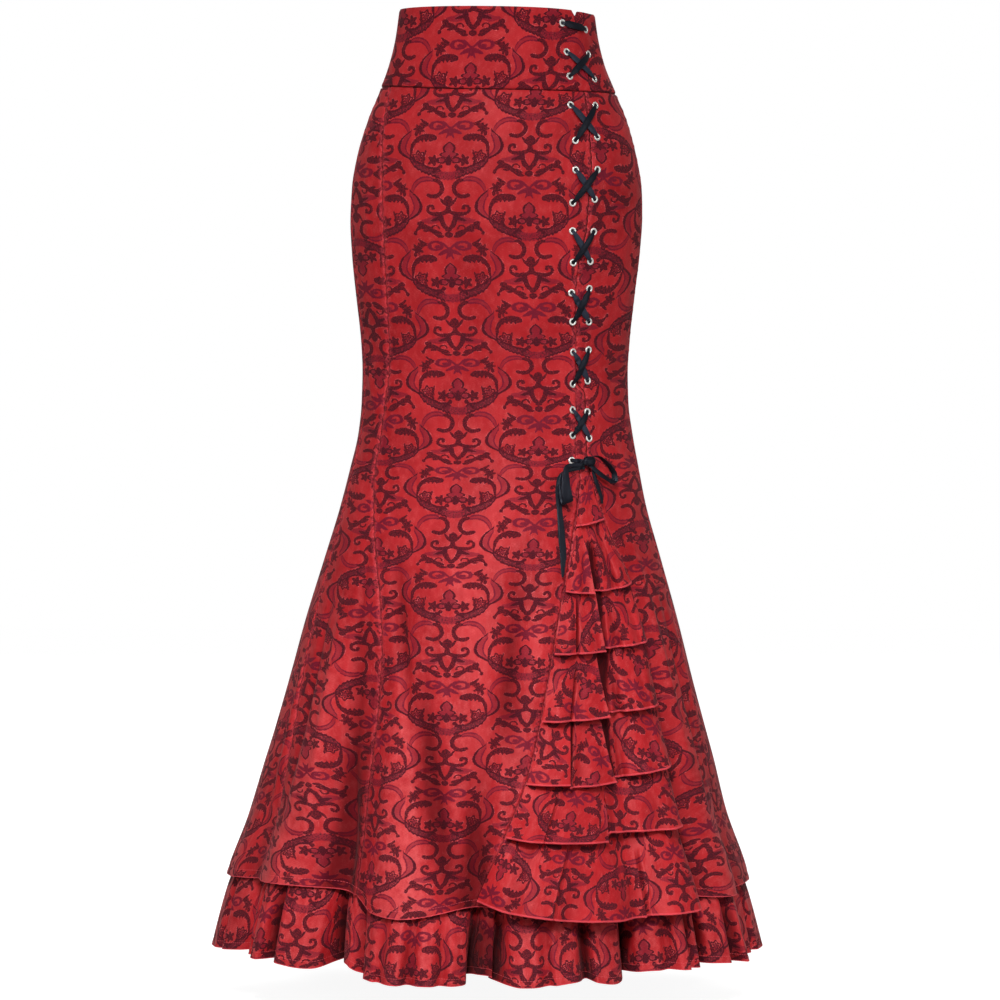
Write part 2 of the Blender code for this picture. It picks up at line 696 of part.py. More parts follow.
def hem_ruffle(name, low, high):
    angles = ruffle_angles(low, high)
    covered, bottom = edge_drop(HEM, angles), edge_drop(RUFFLE_HEM, angles)
    levels = [covered - RUFFLE_TUCK]
    levels += [covered + (bottom - covered) * share for share in RUFFLE_LEVELS]
    drop = np.stack(levels)
    angle = np.broadcast_to(angles, drop.shape)
    return cloth_wall(name, ruffle_surface, angle, drop, RUFFLE_THICK, halved=True)


# ---------------------------------------------------------------- what lies on the cloth


class Ground:
    """The outer faces of the front pieces, to set the eyelets and ribbons on."""

    def __init__(self, pieces):
        points, faces = [], []
        for piece in pieces:
            first = len(points)
            points += [v.co.copy() for v in piece.data.vertices]
            faces += [[first + i for i in p.vertices] for p in piece.data.polygons]
        self.tree = BVHTree.FromPolygons(points, faces)

    def seat(self, x, drop):
        """The point of the front at x and drop, or of the cloth beside it where that falls into a seam's gap."""
        for aside in (0.0, 2 * SEAM_GAP, -2 * SEAM_GAP):
            place = self.tree.ray_cast(Vector((x + aside, -1.0, aside / 2 - drop)), Vector((0, 1, 0)))[0]
            if place:
                return place
        raise ValueError(f"no cloth at {x}, {drop}")

    def over(self, x, drop, lift):
        """The point that stands off the front by lift at x and drop."""
        return self.seat(x, drop) + self.outward(x, drop) * lift

    def outward(self, x, drop):
        near = 0.004
        across = self.seat(x + near, drop) - self.seat(x - near, drop)
        down = self.seat(x, drop + near) - self.seat(x, drop - near)
        return down.cross(across).normalized()


def eyelet_mesh():
    bpy.ops.mesh.primitive_torus_add(
        major_radius=EYELET_RADIUS, minor_radius=EYELET_WALL, major_segments=10, minor_segments=3
    )
    ring = bpy.context.object
    mesh = ring.data
    mesh.transform(Matrix.Diagonal((1.0, 1.0, EYELET_FLATTEN, 1.0)))
    mesh.materials.append(material("eyelet_metal", EYELET_SILVER, 0.25, metallic=1.0))
    mesh.shade_smooth()
    bpy.data.objects.remove(ring)
    return mesh


def eyelets(ground):
    mesh = eyelet_mesh()
    rise = SEAM_GAP + EYELET_WALL * EYELET_FLATTEN
    for row, (left_x, left_drop, right_x, right_drop) in enumerate(EYELETS, start=1):
        for side, x, drop in (("left", left_x, left_drop), ("right", right_x, right_drop)):
            ring = bpy.data.objects.new(f"eyelet_{side}_{row:02d}", mesh)
            out = ground.outward(x, drop)
            ring.location = ground.over(x, drop, rise)
            ring.rotation_mode = "QUATERNION"
            ring.rotation_quaternion = out.to_track_quat("Z", "Y")
            PART.objects.link(ring)


def smooth_line(rows, steps):
    """A ribbon's rows with steps - 1 more between each two, on a smooth curve through them."""
    keys = np.arange(len(rows), dtype=float)
    table = np.column_stack([keys, np.array(rows)])
    at = np.linspace(0.0, len(rows) - 1.0, (len(rows) - 1) * steps + 1)
    return np.column_stack([curve_value(table, k, at) for k in range(1, table.shape[1])])


def ribbon_mesh(ground, rows):
    """Points and faces of a ribbon, a thin closed strip whose outer face stands off the front by the rows' lift."""
    middle = [ground.over(x, drop, lift) for x, drop, lift, _, _ in rows]
    points = []
    for i, (x, drop, _, width, turn) in enumerate(rows):
        along = (middle[min(i + 1, len(rows) - 1)] - middle[max(i - 1, 0)]).normalized()
        out = ground.outward(x, drop)
        across = out.cross(along).normalized()
        face = along.cross(across).normalized()
        tip = math.radians(turn)
        side = across * math.cos(tip) + face * math.sin(tip)
        face = face * math.cos(tip) - across * math.sin(tip)
        for way, sunk in ((-1, 0), (1, 0), (1, 1), (-1, 1)):
            points.append(middle[i] + side * (way * width / 2) - face * (sunk * RIBBON_THICK))
    faces = []
    for i in range(len(rows) - 1):
        for k in range(4):
            a, b = 4 * i + k, 4 * i + (k + 1) % 4
            faces.append((a, b, b + 4, a + 4))
    last = 4 * (len(rows) - 1)
    faces += [(3, 2, 1, 0), (last, last + 1, last + 2, last + 3)]
    return points, faces


def facing_out(made):
    """Turns the faces of a closed mesh outwards."""
    work = bmesh.new()
    work.from_mesh(made.data)
    bmesh.ops.recalc_face_normals(work, faces=work.faces)
    work.to_mesh(made.data)
    work.free()
    return made


def ribbon(ground, name, rows, look=None):
    points, faces = ribbon_mesh(ground, rows)
    return facing_out(new_object(name, points, faces, look or ribbon_material(name)))


def joined(base, others):
    """base with the other solids made one with it. The others become helpers that aren't part of the skirt."""
    for other in others:
        weld = base.modifiers.new(f"with_{other.name}", "BOOLEAN")
        weld.operation = "UNION"
        weld.object = other
        PART.objects.unlink(other)
        HELPERS.objects.link(other)
        other.hide_render = True
        other.display_type = "WIRE"
    return base


def strap(start, end, arch):
    """The rows of one lace strap from eyelet to eyelet, narrow at both ends and highest halfway."""
    rows = []
    for i in range(LACE_STEPS + 1):
        t = i / LACE_STEPS
        hump = math.sin(math.pi * t)
        width = LACE_END_WIDTH + (LACE_WIDTH - LACE_END_WIDTH) * min(1.0, 1.6 * hump)
        x = start[0] + (end[0] - start[0]) * t
        drop = start[1] + (end[1] - start[1]) * t
        rows.append((x, drop, LACE_LIFT + arch * hump, width, 0.0))
    return rows


def lacing(ground):
    first = EYELETS[0]
    bar = strap((first[0], first[1]), (first[2], first[3]), LACE_ARCH)
    ribbon(ground, "lace_bar", bar)
    for number, (upper, lower) in enumerate(zip(EYELETS[1:14:2], EYELETS[2:15:2], strict=True), 1):
        name = f"lace_cross_{number}"
        under = strap((upper[0], upper[1]), (lower[2], lower[3]), LACE_ARCH)
        over = strap((upper[2], upper[3]), (lower[0], lower[1]), LACE_ARCH + RIBBON_THICK / 2)
        cross = ribbon(ground, name, over)
        joined(cross, [ribbon(ground, f"{name}_under", under)])


def knot(ground):
    bpy.ops.mesh.primitive_uv_sphere_add(segments=10, ring_count=7, radius=1.0)
    made = bpy.context.object
    made.name = "lace_bow"
    for collection in list(made.users_collection):
        collection.objects.unlink(made)
    PART.objects.link(made)
    out = ground.outward(KNOT["x"], KNOT["drop"])
    turn = out.to_track_quat("-Y", "Z").to_matrix().to_4x4()
    place = Matrix.Translation(ground.over(KNOT["x"], KNOT["drop"], KNOT["lift"]))
    made.data.transform(place @ turn @ Matrix.Diagonal((*KNOT["radii"], 1.0)))
    made.data.materials.append(ribbon_material("lace_bow"))
    return made


def bow(ground):
    loops = [
        ribbon(ground, name, smooth_line(rows, RIBBON_STEPS))
        for name, rows in (("loop_left", LEFT_LOOP), ("loop_right", RIGHT_LOOP), ("lead", LEAD))
    ]
    joined(knot(ground), loops)
    ribbon(ground, "lace_tail_left", LEFT_TAIL)
    ribbon(ground, "lace_tail_right", RIGHT_TAIL)


# ---------------------------------------------------------------- the whole skirt


def cleared_scene():
    for old in list(bpy.data.objects):
        bpy.data.objects.remove(old)


def new_collection(name):
    made = bpy.data.collections.new(name)
    bpy.context.scene.collection.children.link(made)
    return made


cleared_scene()
PART = new_collection("mermaid_fishtail_skirt")
HELPERS = new_collection("joining_helpers")
HELPERS.hide_render = True

front_band = waistband("waistband_front", -86.0, 86.0, NOTCH_ANGLES)
waistband("waistband_back", 86.0, 274.0)
cloth = panels()
insert = godet_insert()
for number in range(len(TIERS)):
    tier(number)
hem_ruffle("hem_ruffle_front", *RUFFLE_SEAMS)
hem_ruffle("hem_ruffle_back", RUFFLE_SEAMS[1], RUFFLE_SEAMS[0] + 360.0)

bpy.context.view_layer.update()
front = Ground([front_band, cloth["front_centre"], cloth["front_right"], insert])
eyelets(front)
lacing(front)
bow(front)
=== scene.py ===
"""The looks of the mermaid fishtail skirt: red damask brocade, a black satin lacing and silver eyelets.

Metres, +Z up, in the frame and the words of part.py. An angle runs round the skirt in degrees: 0 is the middle of the
front, 90 the +X side, 180 the middle of the back. A drop is a distance below the origin. A lift is a distance outwards
from the skirt's surface. The tables of the form repeat those of the solids, so each shell of cloth lies on its solid.
The damask is charted in millimetres on the flat cloth, and every piece carries its flat cloth in the UV map "cloth".
"""

import functools
import math

import bmesh
import bpy
import numpy as np
from mathutils import Matrix, Vector


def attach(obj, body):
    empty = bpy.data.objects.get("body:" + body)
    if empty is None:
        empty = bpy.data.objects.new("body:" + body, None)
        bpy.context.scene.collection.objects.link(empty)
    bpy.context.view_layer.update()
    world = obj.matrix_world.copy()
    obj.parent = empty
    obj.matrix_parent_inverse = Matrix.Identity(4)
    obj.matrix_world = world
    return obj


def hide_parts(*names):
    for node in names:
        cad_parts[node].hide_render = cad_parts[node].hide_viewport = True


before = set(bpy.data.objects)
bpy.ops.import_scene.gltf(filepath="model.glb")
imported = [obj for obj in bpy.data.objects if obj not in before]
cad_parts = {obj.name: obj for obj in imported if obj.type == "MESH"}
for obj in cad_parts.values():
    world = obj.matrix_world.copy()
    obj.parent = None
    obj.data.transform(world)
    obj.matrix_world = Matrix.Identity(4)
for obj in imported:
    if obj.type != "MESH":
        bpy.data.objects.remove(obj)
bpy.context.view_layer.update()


def linear(red, green, blue):
    """A colour from its 0 to 255 values as a screen shows them."""
    shares = (c / 255 for c in (red, green, blue))
    return (*(((c + 0.055) / 1.055) ** 2.4 if c > 0.04 else c / 12.92 for c in shares), 1.0)


# ---- camera, light and stage sizes

CAMERA_PLACE = (0.004, -5.2, -0.295)
CAMERA_AIM = (0.004, 0.0, -0.4996)
CAMERA_LENS = 172.5
FLOOR_DROP = 1.035
FLOOR_REACH = 6.0
STAGE_PALE = (0.35, 0.35, 0.35, 1.0)
STAGE_GLOW = 0.92

LAMPS = (
    # name,      place,              aim,               width, height, spread, watts
    ("key", (-0.1, -2.8, 1.0), (0.0, -0.2, -0.98), 0.6, 0.6, 56.0, 5.6),
    ("top", (-0.2, -2.2, 2.2), (0.0, -0.2, -1.0), 0.9, 0.6, 70.0, 5.2),
    ("fill_right", (3.0, -2.2, 0.2), (0.0, 0.0, -0.6), 1.2, 2.0, 180.0, 22.0),
    ("fill_left", (-3.0, -2.4, 0.7), (0.0, 0.0, -0.2), 1.2, 1.2, 110.0, 8.0),
    ("back", (0.0, 3.6, 1.6), (0.0, 0.0, -0.5), 2.6, 2.0, 180.0, 52.0),
)
WORLD_STRENGTH = 0.19

# ---- colours

GROUND_BRIGHT = linear(198, 38, 44)
GROUND_DEEP = linear(160, 18, 26)
# The lighter pink of the thread grain, and of the painted satin highlights on glints and ridges
GROUND_THREAD_AND_HIGHLIGHT = linear(228, 88, 90)
MIDDLE_RED = linear(112, 18, 42)
DARK_PLUM = linear(66, 20, 32)
RIM_THREAD = linear(236, 110, 116)
# Painted highlight: along the rolled edges and in streaks beside the seams
EDGE_HIGHLIGHT_RED = linear(226, 72, 82)
STITCH_RED = linear(228, 84, 92)
SEAM_SHADE = linear(58, 4, 10)
FOLD_SHADE = linear(40, 0, 5)
SATIN_BLACK = (0.006, 0.006, 0.010, 1.0)
SATIN_SHEEN_BLUE = (0.022, 0.026, 0.042, 1.0)
GROUND_ROUGHNESS = 0.45
DEEPEST_SHADE = 0.95
BAND_ROUGHNESS = 0.62
BROCADE_VALUES = {
    "Specular IOR Level": 0.42,
    "Specular Tint": (1.0, 0.40, 0.40, 1.0),
    "Sheen Weight": 0.05,
    "Sheen Roughness": 0.45,
    "Sheen Tint": (1.0, 0.55, 0.58, 1.0),
}
SATIN_VALUES = {
    "Specular IOR Level": 0.25,
    "Specular Tint": (0.75, 0.82, 1.0, 1.0),
    "Sheen Weight": 0.04,
    "Sheen Roughness": 0.35,
    "Sheen Tint": (0.55, 0.65, 1.0, 1.0),
}
CLOTH_NOISES = (
    # scale across and down the cloth, for each mm, and detail
    (0.9, 0.9, 2.0),  # ragged lines
    (0.19, 0.19, 1.0),  # uneven lines
    (0.40, 2.8, 3.0),  # grain of the threads
    (0.020, 0.013, 3.0),  # clouds of lighter red
    (0.13, 0.10, 3.0),  # painted glints of satin sheen, and where the light rim threads show
    (0.55, 0.75, 1.0),  # speckles
    (0.034, 0.019, 1.0),  # waves of the cloth
    (0.11, 0.05, 2.0),  # ripples
)
STREAK_NOISE = (0.5, 0.3)
WAVE_HIGH = 2.6  # mm of relief
RIPPLE_HIGH = 0.8

# ---- the damask's repeat, in mm

COLUMN_PITCH = 86.0
REPEAT_HEIGHT = 129.0
REPEAT_TOP = -33.0
EDGE_SOFTNESS = 0.5
DRAWN_WIDER = 0.3  # how much wider than its chart each line is woven
RAGGED = 2.0  # how much a line's edge goes in and out over short and over long stretches
UNEVEN = 1.1
HALF_SHARE = 0.95  # of the middle red, in the loops and stars
FILL_SHARE = 0.62  # in the spades, the wings and the rosettes' hearts
BAND_SHARE = 0.66  # in the garland's middle
ARM_SHARE = 0.50  # and in the arms
RIM_AWAY = 0.85  # the light threads lie so far outside the dark lines
RIM_WIDTH = 0.35
STITCH_PITCH = 3.0
STITCH_APART = 0.28  # the share of that between two stitches
PATTERN_INPUTS = ("Across", "Down", "Wobble", "Speckle")
PATTERN_TONES = ("Dark", "Speckles", "Middle", "Rim")

# ---- lace and eyelet sizes

RIBBON_THICK = 0.00045
UNDER_SHIFT = 1.0  # how far the under straps lie aside on the ribbon's map, where the satin gets a painted blue sheen
RIBBON_COLUMNS = 7
STRAP_STEPS = 28
STRAP_CLIMB = 0.0032
STRAP_SUNK = 0.0002
STRAP_LIFT = 0.0024
STRAP_END_WIDTH = 0.0032
STRAP_CUP = 0.08
STRAP_ARCHES = (0.0006, 0.0020)  # of the under and the over strap of a cross
BAR_ARCH = 0.0010
STRAP_WIDTHS = (0.0074, 0.0070, 0.0072, 0.0070, 0.0066, 0.0072, 0.0068, 0.0064)
RING_RADIUS = 0.00305
RING_WALL = 0.00102
RING_FLATTEN = 0.7
RING_RISE = 0.0005
HOLE_RISE = 0.00045
HOLE_THICK = 0.0004

# ---- cloth sizes

CLOTH_THICK = 0.0008
BAND_THICK = 0.0016
FRONT_STEP = 0.0034  # between two points of a front piece's mesh
BACK_STEP = 0.0048
FRONT_GRID_STEP = 0.003  # between two rows of the grid that the lacing lies on
TIER_STEP = 0.0022
SLOT_STEP = 0.0008
RUFFLE_STEP = 0.0019
SEAM_DIP = 0.0011  # how far cloth dips into a seam
SEAM_DIP_REACH = 0.0016
SPLIT_DROP = 0.3700  # where the godet starts, at the middle of the front
STITCH_DIP = 0.0004
PANEL_STITCH_AT = 0.0085  # how far the stitches lie from the hem
PANEL_STITCH_REACH = 0.0012
RUFFLE_STITCH_AT = 0.0075
RUFFLE_STITCH_REACH = 0.0010
PANEL_EDGE_WIDE = 0.0012  # of the painted highlight along the rolled edge
TIER_EDGE_WIDE = 0.0024
WAIST_LINE_WIDE = 0.0016  # of the dark line along the band's bottom
SEAM_LINE_WIDE = 0.0012  # of the dark line in a seam
STREAK_REACH = 0.007  # of the painted highlight streaks beside a seam
STITCH_HALF = 0.00028  # half the width of a stitch
PANEL_TOP = 0.0590  # a panel's rows are spread from this drop
PANEL_HEM = 0.9140  # to this one
HEM_RADIUS = 0.28  # the radii are for the number of a piece's columns
GODET_RADIUS = 0.24
RUFFLE_RADIUS = 0.34
RUFFLE_LONG = 0.098
BAND_RADIUS = 0.115
BAND_LONG = 0.088
BAND_SEAMS = (-86.0, 86.0)
BAND_FINE = np.array([0.3, 0.7, 1.2])  # degrees from a seam to the band's fine columns
BAND_LIFT = 0.0004
PUCKER_RADIUS = 0.12
FINE_STEPS = (0.0004, 0.0009, 0.0014, 0.0020, 0.0028)  # of a tier's and a ruffle's rows, at both ends
LAP_RISE = 0.0011
LAP_SINK = 0.0009
LAP_RISE_REACH = 5.0
LAP_SINK_REACH = 3.0
LAP_TOP = 0.225
LAP_FADE = 0.03
LAP_END = 0.475
LAP_FADE_END = 0.02

# The hollow form: each row is a level, and its two half depths may differ.
SECTIONS = np.array([
    # drop, half_width, centre_x, front_depth, back_depth
    (-0.03, 0.105, 0.0005, 0.082, 0.084),
    (0, 0.1092, 0.0005, 0.085, 0.088),
    (0.028, 0.116, 0.0005, 0.09, 0.094),
    (0.056, 0.1266, 0.0011, 0.096, 0.102),
    (0.0886, 0.1401, 0.0011, 0.102, 0.11),
    (0.1288, 0.1515, 0.0005, 0.106, 0.118),
    (0.1625, 0.157, 0.0005, 0.108, 0.123),
    (0.195, 0.1581, 0, 0.108, 0.125),
    (0.233, 0.1559, -0.0005, 0.107, 0.125),
    (0.2776, 0.151, -0.001, 0.105, 0.122),
    (0.3276, 0.1456, -0.001, 0.104, 0.118),
    (0.36, 0.1439, -0.0013, 0.104, 0.116),
    (0.3939, 0.1448, -0.0014, 0.106, 0.117),
    (0.4275, 0.1488, -0.001, 0.11, 0.12),
    (0.4645, 0.1565, -0.002, 0.117, 0.126),
    (0.5068, 0.1662, -0.0033, 0.128, 0.136),
    (0.5579, 0.1812, -0.004, 0.143, 0.15),
    (0.6296, 0.2021, -0.0054, 0.167, 0.173),
    (0.6937, 0.2184, -0.0065, 0.188, 0.194),
    (0.7512, 0.2333, -0.0073, 0.206, 0.212),
    (0.7817, 0.2415, -0.008, 0.216, 0.222),
    (0.8403, 0.256, -0.0098, 0.237, 0.243),
    (0.9066, 0.2775, -0.0105, 0.262, 0.268),
    (0.99, 0.2905, -0.0105, 0.282, 0.286),
])

# Where the long seams run, as angles. Below the split, the last two front edges part and the godet stands between them.
SEAMS = np.array([
    # drop, side_left, princess, centre_edge, right_edge, side_right
    (0.05, -84, -67, 47.4, 47.4, 84),
    (0.11, -83, -57, 42.5, 42.5, 84),
    (0.145, -82, -52.5, 41, 41, 83.5),
    (0.175, -81, -51, 38.7, 38.7, 83),
    (0.213, -80, -50, 37.4, 37.4, 83),
    (0.244, -80, -50, 34.8, 34.8, 83),
    (0.27, -79, -50.5, 34.6, 34.6, 83),
    (0.336, -79, -52, 36.6, 36.6, 83),
    (0.37, -78.5, -53, 37, 37.8, 82),
    (0.384, -78, -54.5, 36.9, 41.9, 82),
    (0.421, -78, -56, 35.2, 41.2, 82),
    (0.45, -77, -56, 34.3, 40.1, 82),
    (0.469, -77, -55, 35.6, 40.8, 82),
    (0.488, -76, -53, 34.3, 41.4, 82),
    (0.5245, -75, -48, 30.3, 44.5, 81),
    (0.56, -74, -43, 26.5, 48, 81),
    (0.591, -73, -39, 23.3, 50, 81),
    (0.656, -69.5, -34, 18.1, 51, 80),
    (0.726, -66.5, -32.3, 13.5, 50.5, 80),
    (0.7875, -64.5, -31.9, 9.1, 51, 79.5),
    (0.843, -62.5, -31.2, 4, 51.5, 77),
    (0.909, -61, -30.5, -2.2, 50.8, 73),
    (0.93, -61, -30.4, -3.5, 50.6, 72),
])
SIDE_LEFT, PRINCESS, CENTRE_EDGE, RIGHT_EDGE, SIDE_RIGHT = range(1, 6)

TOP_EDGE = np.array([
    # angle, drop
    (-180, -0.03), (-60, -0.031), (0, -0.03), (49.5, -0.0275), (52.4, -0.0205), (55, -0.0262), (75, -0.025),
    (180, -0.03),
])
NOTCH_ANGLES = (49.5, 52.4, 55.0)

WAIST_SEAM = np.array([
    # angle, drop
    (-180, 0.056), (-80, 0.053), (-12, 0.059), (60, 0.0605), (180, 0.056),
])

HEM = np.array([
    # angle, drop
    (-180, 0.912), (-120, 0.908), (-82, 0.9035), (-50, 0.8975), (-31, 0.904), (-25, 0.92), (-17, 0.9235),
    (-3, 0.9137), (20, 0.912), (51, 0.906), (57, 0.915), (66, 0.9175), (90, 0.915), (180, 0.912),
])

# Soft folds of the flared cloth. Depth is at the hem, positive for a ridge. A fold fades out upwards at its start.
FLUTES = np.array([
    # angle, reach, depth, start
    (-77, 7, 0.006, 0.6), (-66, 5.5, -0.01, 0.66), (-52, 8, 0.014, 0.5), (-36.5, 5, -0.022, 0.56),
    (-28, 5, -0.008, 0.46), (-19, 7, 0.014, 0.5), (-2, 4.5, -0.02, 0.7), (12, 7, 0.008, 0.66),
    (34.5, 5, -0.018, 0.52), (46, 6, 0.01, 0.56), (55, 4.5, -0.012, 0.62), (66, 6, 0.01, 0.56), (78, 5, -0.008, 0.66),
    (97, 8, 0.01, 0.56), (112, 6, -0.018, 0.62), (127, 8.5, 0.014, 0.5), (143, 6, -0.02, 0.58), (157, 8, 0.012, 0.54),
    (173, 6.5, -0.016, 0.5), (189, 8.5, 0.014, 0.52), (205, 5.5, -0.022, 0.6), (219, 8, 0.012, 0.5),
    (235, 6, -0.018, 0.64), (250, 8, 0.012, 0.54), (264, 5.5, -0.014, 0.62), (273, 5, 0.006, 0.66),
])
FLUTE_FULL_DROP = 0.915
FLUTE_GROWTH = 1.5

# The godet's tiers, from the top: the drops of the hem's left, middle and right, and how far it stands out.
TIERS = (
    # name, left, middle, right, stand_out
    ("tier_1", 0.523, 0.52, 0.5155, 0.007),
    ("tier_2", 0.591, 0.5925, 0.582, 0.012),
    ("tier_3", 0.6555, 0.6535, 0.645, 0.014),
    ("tier_4", 0.7245, 0.7215, 0.7115, 0.015),
    ("tier_5", 0.7875, 0.787, 0.773, 0.016),
    ("tier_6", 0.841, 0.848, 0.837, 0.017),
    ("tier_7", 0.907, 0.927, 0.921, 0.018),
)
TIER_TOP_DROP = 0.4740  # where the first tier is sewn on, below the bow
TIER_OVERLAP = 0.0170  # how far a tier's sewn edge lies above the hem of the tier over it
TIER_BASE_LIFT = 0.0018  # of the first tier's sewn edge
TIER_BASE_STEP = 0.00014  # more on each next tier, because the folds under it are deeper
TIER_EDGE_SHARE = 0.40  # a tier's side edges are sewn down, and stand out by this share of its middle
TIER_GROWTH = 1.35

TIER_FOLDS = {
    # tier: (across, reach, depth) of each fold
    "tier_2": ((0.62, 0.09, 0.008), (0.25, 0.1, 0.004)),
    "tier_3": ((0.58, 0.08, 0.009), (0.22, 0.1, 0.004), (0.84, 0.07, 0.004)),
    "tier_4": ((0.57, 0.07, 0.01), (0.24, 0.09, 0.005), (0.83, 0.06, 0.004)),
    "tier_5": ((0.58, 0.07, 0.01), (0.32, 0.07, 0.007), (0.82, 0.06, 0.004)),
    "tier_6": ((0.51, 0.08, 0.008), (0.22, 0.09, 0.005), (0.78, 0.07, 0.006)),
    "tier_7": ((0.38, 0.08, 0.006), (0.14, 0.06, 0.006), (0.66, 0.08, 0.005), (0.88, 0.06, 0.005)),
}

# The pleats of the hem ruffle: where each one folds in, how deep at the bottom edge, and half its width in degrees.
PLEATS = np.array([
    # angle, depth, reach
    (-77, 0.014, 3), (-66, 0.02, 3.4), (-57.5, 0.012, 2.6), (-50, 0.022, 3), (-36.8, 0.024, 3.4), (-29, 0.014, 2.8),
    (-21.5, 0.01, 2.6), (-15.3, 0.012, 2.4), (-9, 0.01, 2.4), (-2.4, 0.028, 2.4), (3.4, 0.026, 2.4), (12, 0.01, 2.4),
    (20.8, 0.02, 2.8), (33.2, 0.028, 3.4), (41.5, 0.01, 2.4), (47.5, 0.016, 2.4), (55, 0.022, 3), (64, 0.022, 2.8),
    (77, 0.018, 3.4), (86, 0.012, 2.6), (97, 0.018, 3), (112, 0.024, 3.6), (121, 0.014, 2.8), (132, 0.018, 3),
    (143, 0.024, 3.6), (153, 0.014, 2.8), (163, 0.018, 3), (173, 0.024, 3.6), (184, 0.014, 3), (194.5, 0.018, 3),
    (205, 0.024, 3.6), (215, 0.014, 2.8), (225, 0.02, 3), (235, 0.024, 3.6), (246, 0.014, 3), (255, 0.018, 2.8),
    (264, 0.022, 3.4),
])
RUFFLE_SEAMS = (-90.0, 91.5)  # the side seams of the ruffle, each on the flat between two pleats
RUFFLE_TUCK = 0.022  # how far the ruffle's sewn edge lies above the hem that covers it
RUFFLE_TOP_LIFT = -0.0059
RUFFLE_CREST = 0.007
RUFFLE_TOP_DEPTH_SHARE = 0.30
RUFFLE_CREST_HIGHLIGHT = 0.5  # how strong the painted highlight on the crests of the ruffle is
RUFFLE_RIDGE_DEEP = 0.004
RUFFLE_HEM = np.array([
    # angle, drop
    (-180, 0.985), (-120, 0.983), (-80, 0.9805), (-62, 0.976), (-50, 0.9765), (-41, 0.983), (-36, 0.975),
    (-32.5, 0.9765), (-29, 0.986), (-15, 0.9905), (-5.4, 0.9925), (0, 0.983), (7, 0.992), (20, 0.988), (28, 0.9935),
    (34, 0.987), (41, 0.9835), (56, 0.985), (78, 0.989), (120, 0.986), (180, 0.985),
])

# The lacing: the x and drop of each row's left and right eyelet.
EYELETS = (
    # left_x, left_drop, right_x, right_drop
    (0.0704, -0.013, 0.0956, -0.0072), (0.0751, 0.018, 0.0985, 0.0193), (0.0782, 0.0443, 0.1049, 0.0462),
    (0.0791, 0.0752, 0.1058, 0.0748), (0.084, 0.113, 0.1075, 0.109), (0.0843, 0.1445, 0.1078, 0.1438),
    (0.0811, 0.1795, 0.1047, 0.1754), (0.0811, 0.2094, 0.1037, 0.21), (0.0817, 0.243, 0.1001, 0.2415),
    (0.0801, 0.2752, 0.0991, 0.2707), (0.0812, 0.306, 0.0987, 0.306), (0.0817, 0.3383, 0.0984, 0.3361),
    (0.0812, 0.3723, 0.0974, 0.3691), (0.0812, 0.3999, 0.0971, 0.4023), (0.0811, 0.4271, 0.099, 0.4304),
    (0.0804, 0.4538, 0.0983, 0.4541),
)

KNOT = {"x": 0.0958, "drop": 0.4560, "lift": 0.0064, "radii": (0.0080, 0.0042, 0.0058)}
KNOT_FURROWS = ((0.25, 0.13, 0.10), (-0.4, 0.12, 0.07))  # place along the knot, reach and depth, as shares
KNOT_WAVE = 0.04

# Ribbons of the bow, as the line that each one follows. A turn of 0 lies flat on the cloth, and 90 stands on its edge.
LEFT_LOOP = (
    # x, drop, lift, width, turn
    (0.093, 0.456, 0.009, 0.004, 0), (0.0842, 0.4592, 0.01, 0.0038, 0), (0.0756, 0.46, 0.0115, 0.0038, 0),
    (0.07, 0.4635, 0.013, 0.0052, 0), (0.069, 0.472, 0.014, 0.0076, 0), (0.069, 0.482, 0.0145, 0.0096, 0),
    (0.0702, 0.492, 0.014, 0.0116, 0), (0.0722, 0.5, 0.011, 0.0124, 0), (0.0715, 0.4985, 0.0075, 0.0116, 0),
    (0.069, 0.49, 0.0062, 0.0096, 0), (0.0672, 0.479, 0.006, 0.007, 0), (0.069, 0.469, 0.0062, 0.0048, 0),
    (0.0756, 0.464, 0.0062, 0.0036, 0), (0.085, 0.461, 0.0058, 0.0036, 0), (0.093, 0.458, 0.0058, 0.0036, 0),
)
RIGHT_LOOP = (
    # x, drop, lift, width, turn
    (0.0965, 0.4528, 0.0072, 0.005, 88), (0.1005, 0.4506, 0.0072, 0.005, 88), (0.1052, 0.4516, 0.0074, 0.0052, 86),
    (0.1112, 0.4568, 0.0078, 0.0056, 82), (0.1172, 0.4638, 0.008, 0.006, 76), (0.1208, 0.4708, 0.0082, 0.0064, 64),
    (0.1212, 0.4768, 0.0082, 0.0068, 48), (0.1178, 0.4778, 0.008, 0.0066, 34), (0.113, 0.4742, 0.0076, 0.0062, 22),
    (0.1076, 0.4702, 0.0074, 0.006, 10), (0.102, 0.4652, 0.0072, 0.0056, 6), (0.0975, 0.46, 0.007, 0.005, 6),
)
LEAD = (
    # x, drop, lift, width, turn
    (0.0804, 0.4538, 0.0021, 0.0036, 0), (0.085, 0.4549, 0.0032, 0.005, 0), (0.093, 0.4556, 0.005, 0.005, 0),
)
LEFT_TAIL = (
    # x,     drop,   lift,   width,  turn
    (0.0925, 0.4622, 0.0045, 0.0034, 0.0),
    (0.0840, 0.4632, 0.0044, 0.0036, 0.0),
    (0.0745, 0.4655, 0.0036, 0.0040, 0.0),
    (0.0680, 0.4700, 0.0030, 0.0050, 0.0),
    (0.0655, 0.4780, 0.0030, 0.0058, 0.0),
    (0.0648, 0.4880, 0.0030, 0.0060, 0.0),
    (0.0654, 0.4980, 0.0034, 0.0060, 0.0),
    (0.0664, 0.5105, 0.0040, 0.0062, 0.0),
    (0.0674, 0.5240, 0.0040, 0.0074, 0.0),
    (0.0683, 0.5380, 0.0040, 0.0080, 0.0),
    (0.0693, 0.5535, 0.0042, 0.0070, 0.0),
    (0.0690, 0.5660, 0.0042, 0.0052, 0.0),
    (0.0686, 0.5770, 0.0042, 0.0020, 0.0),
)
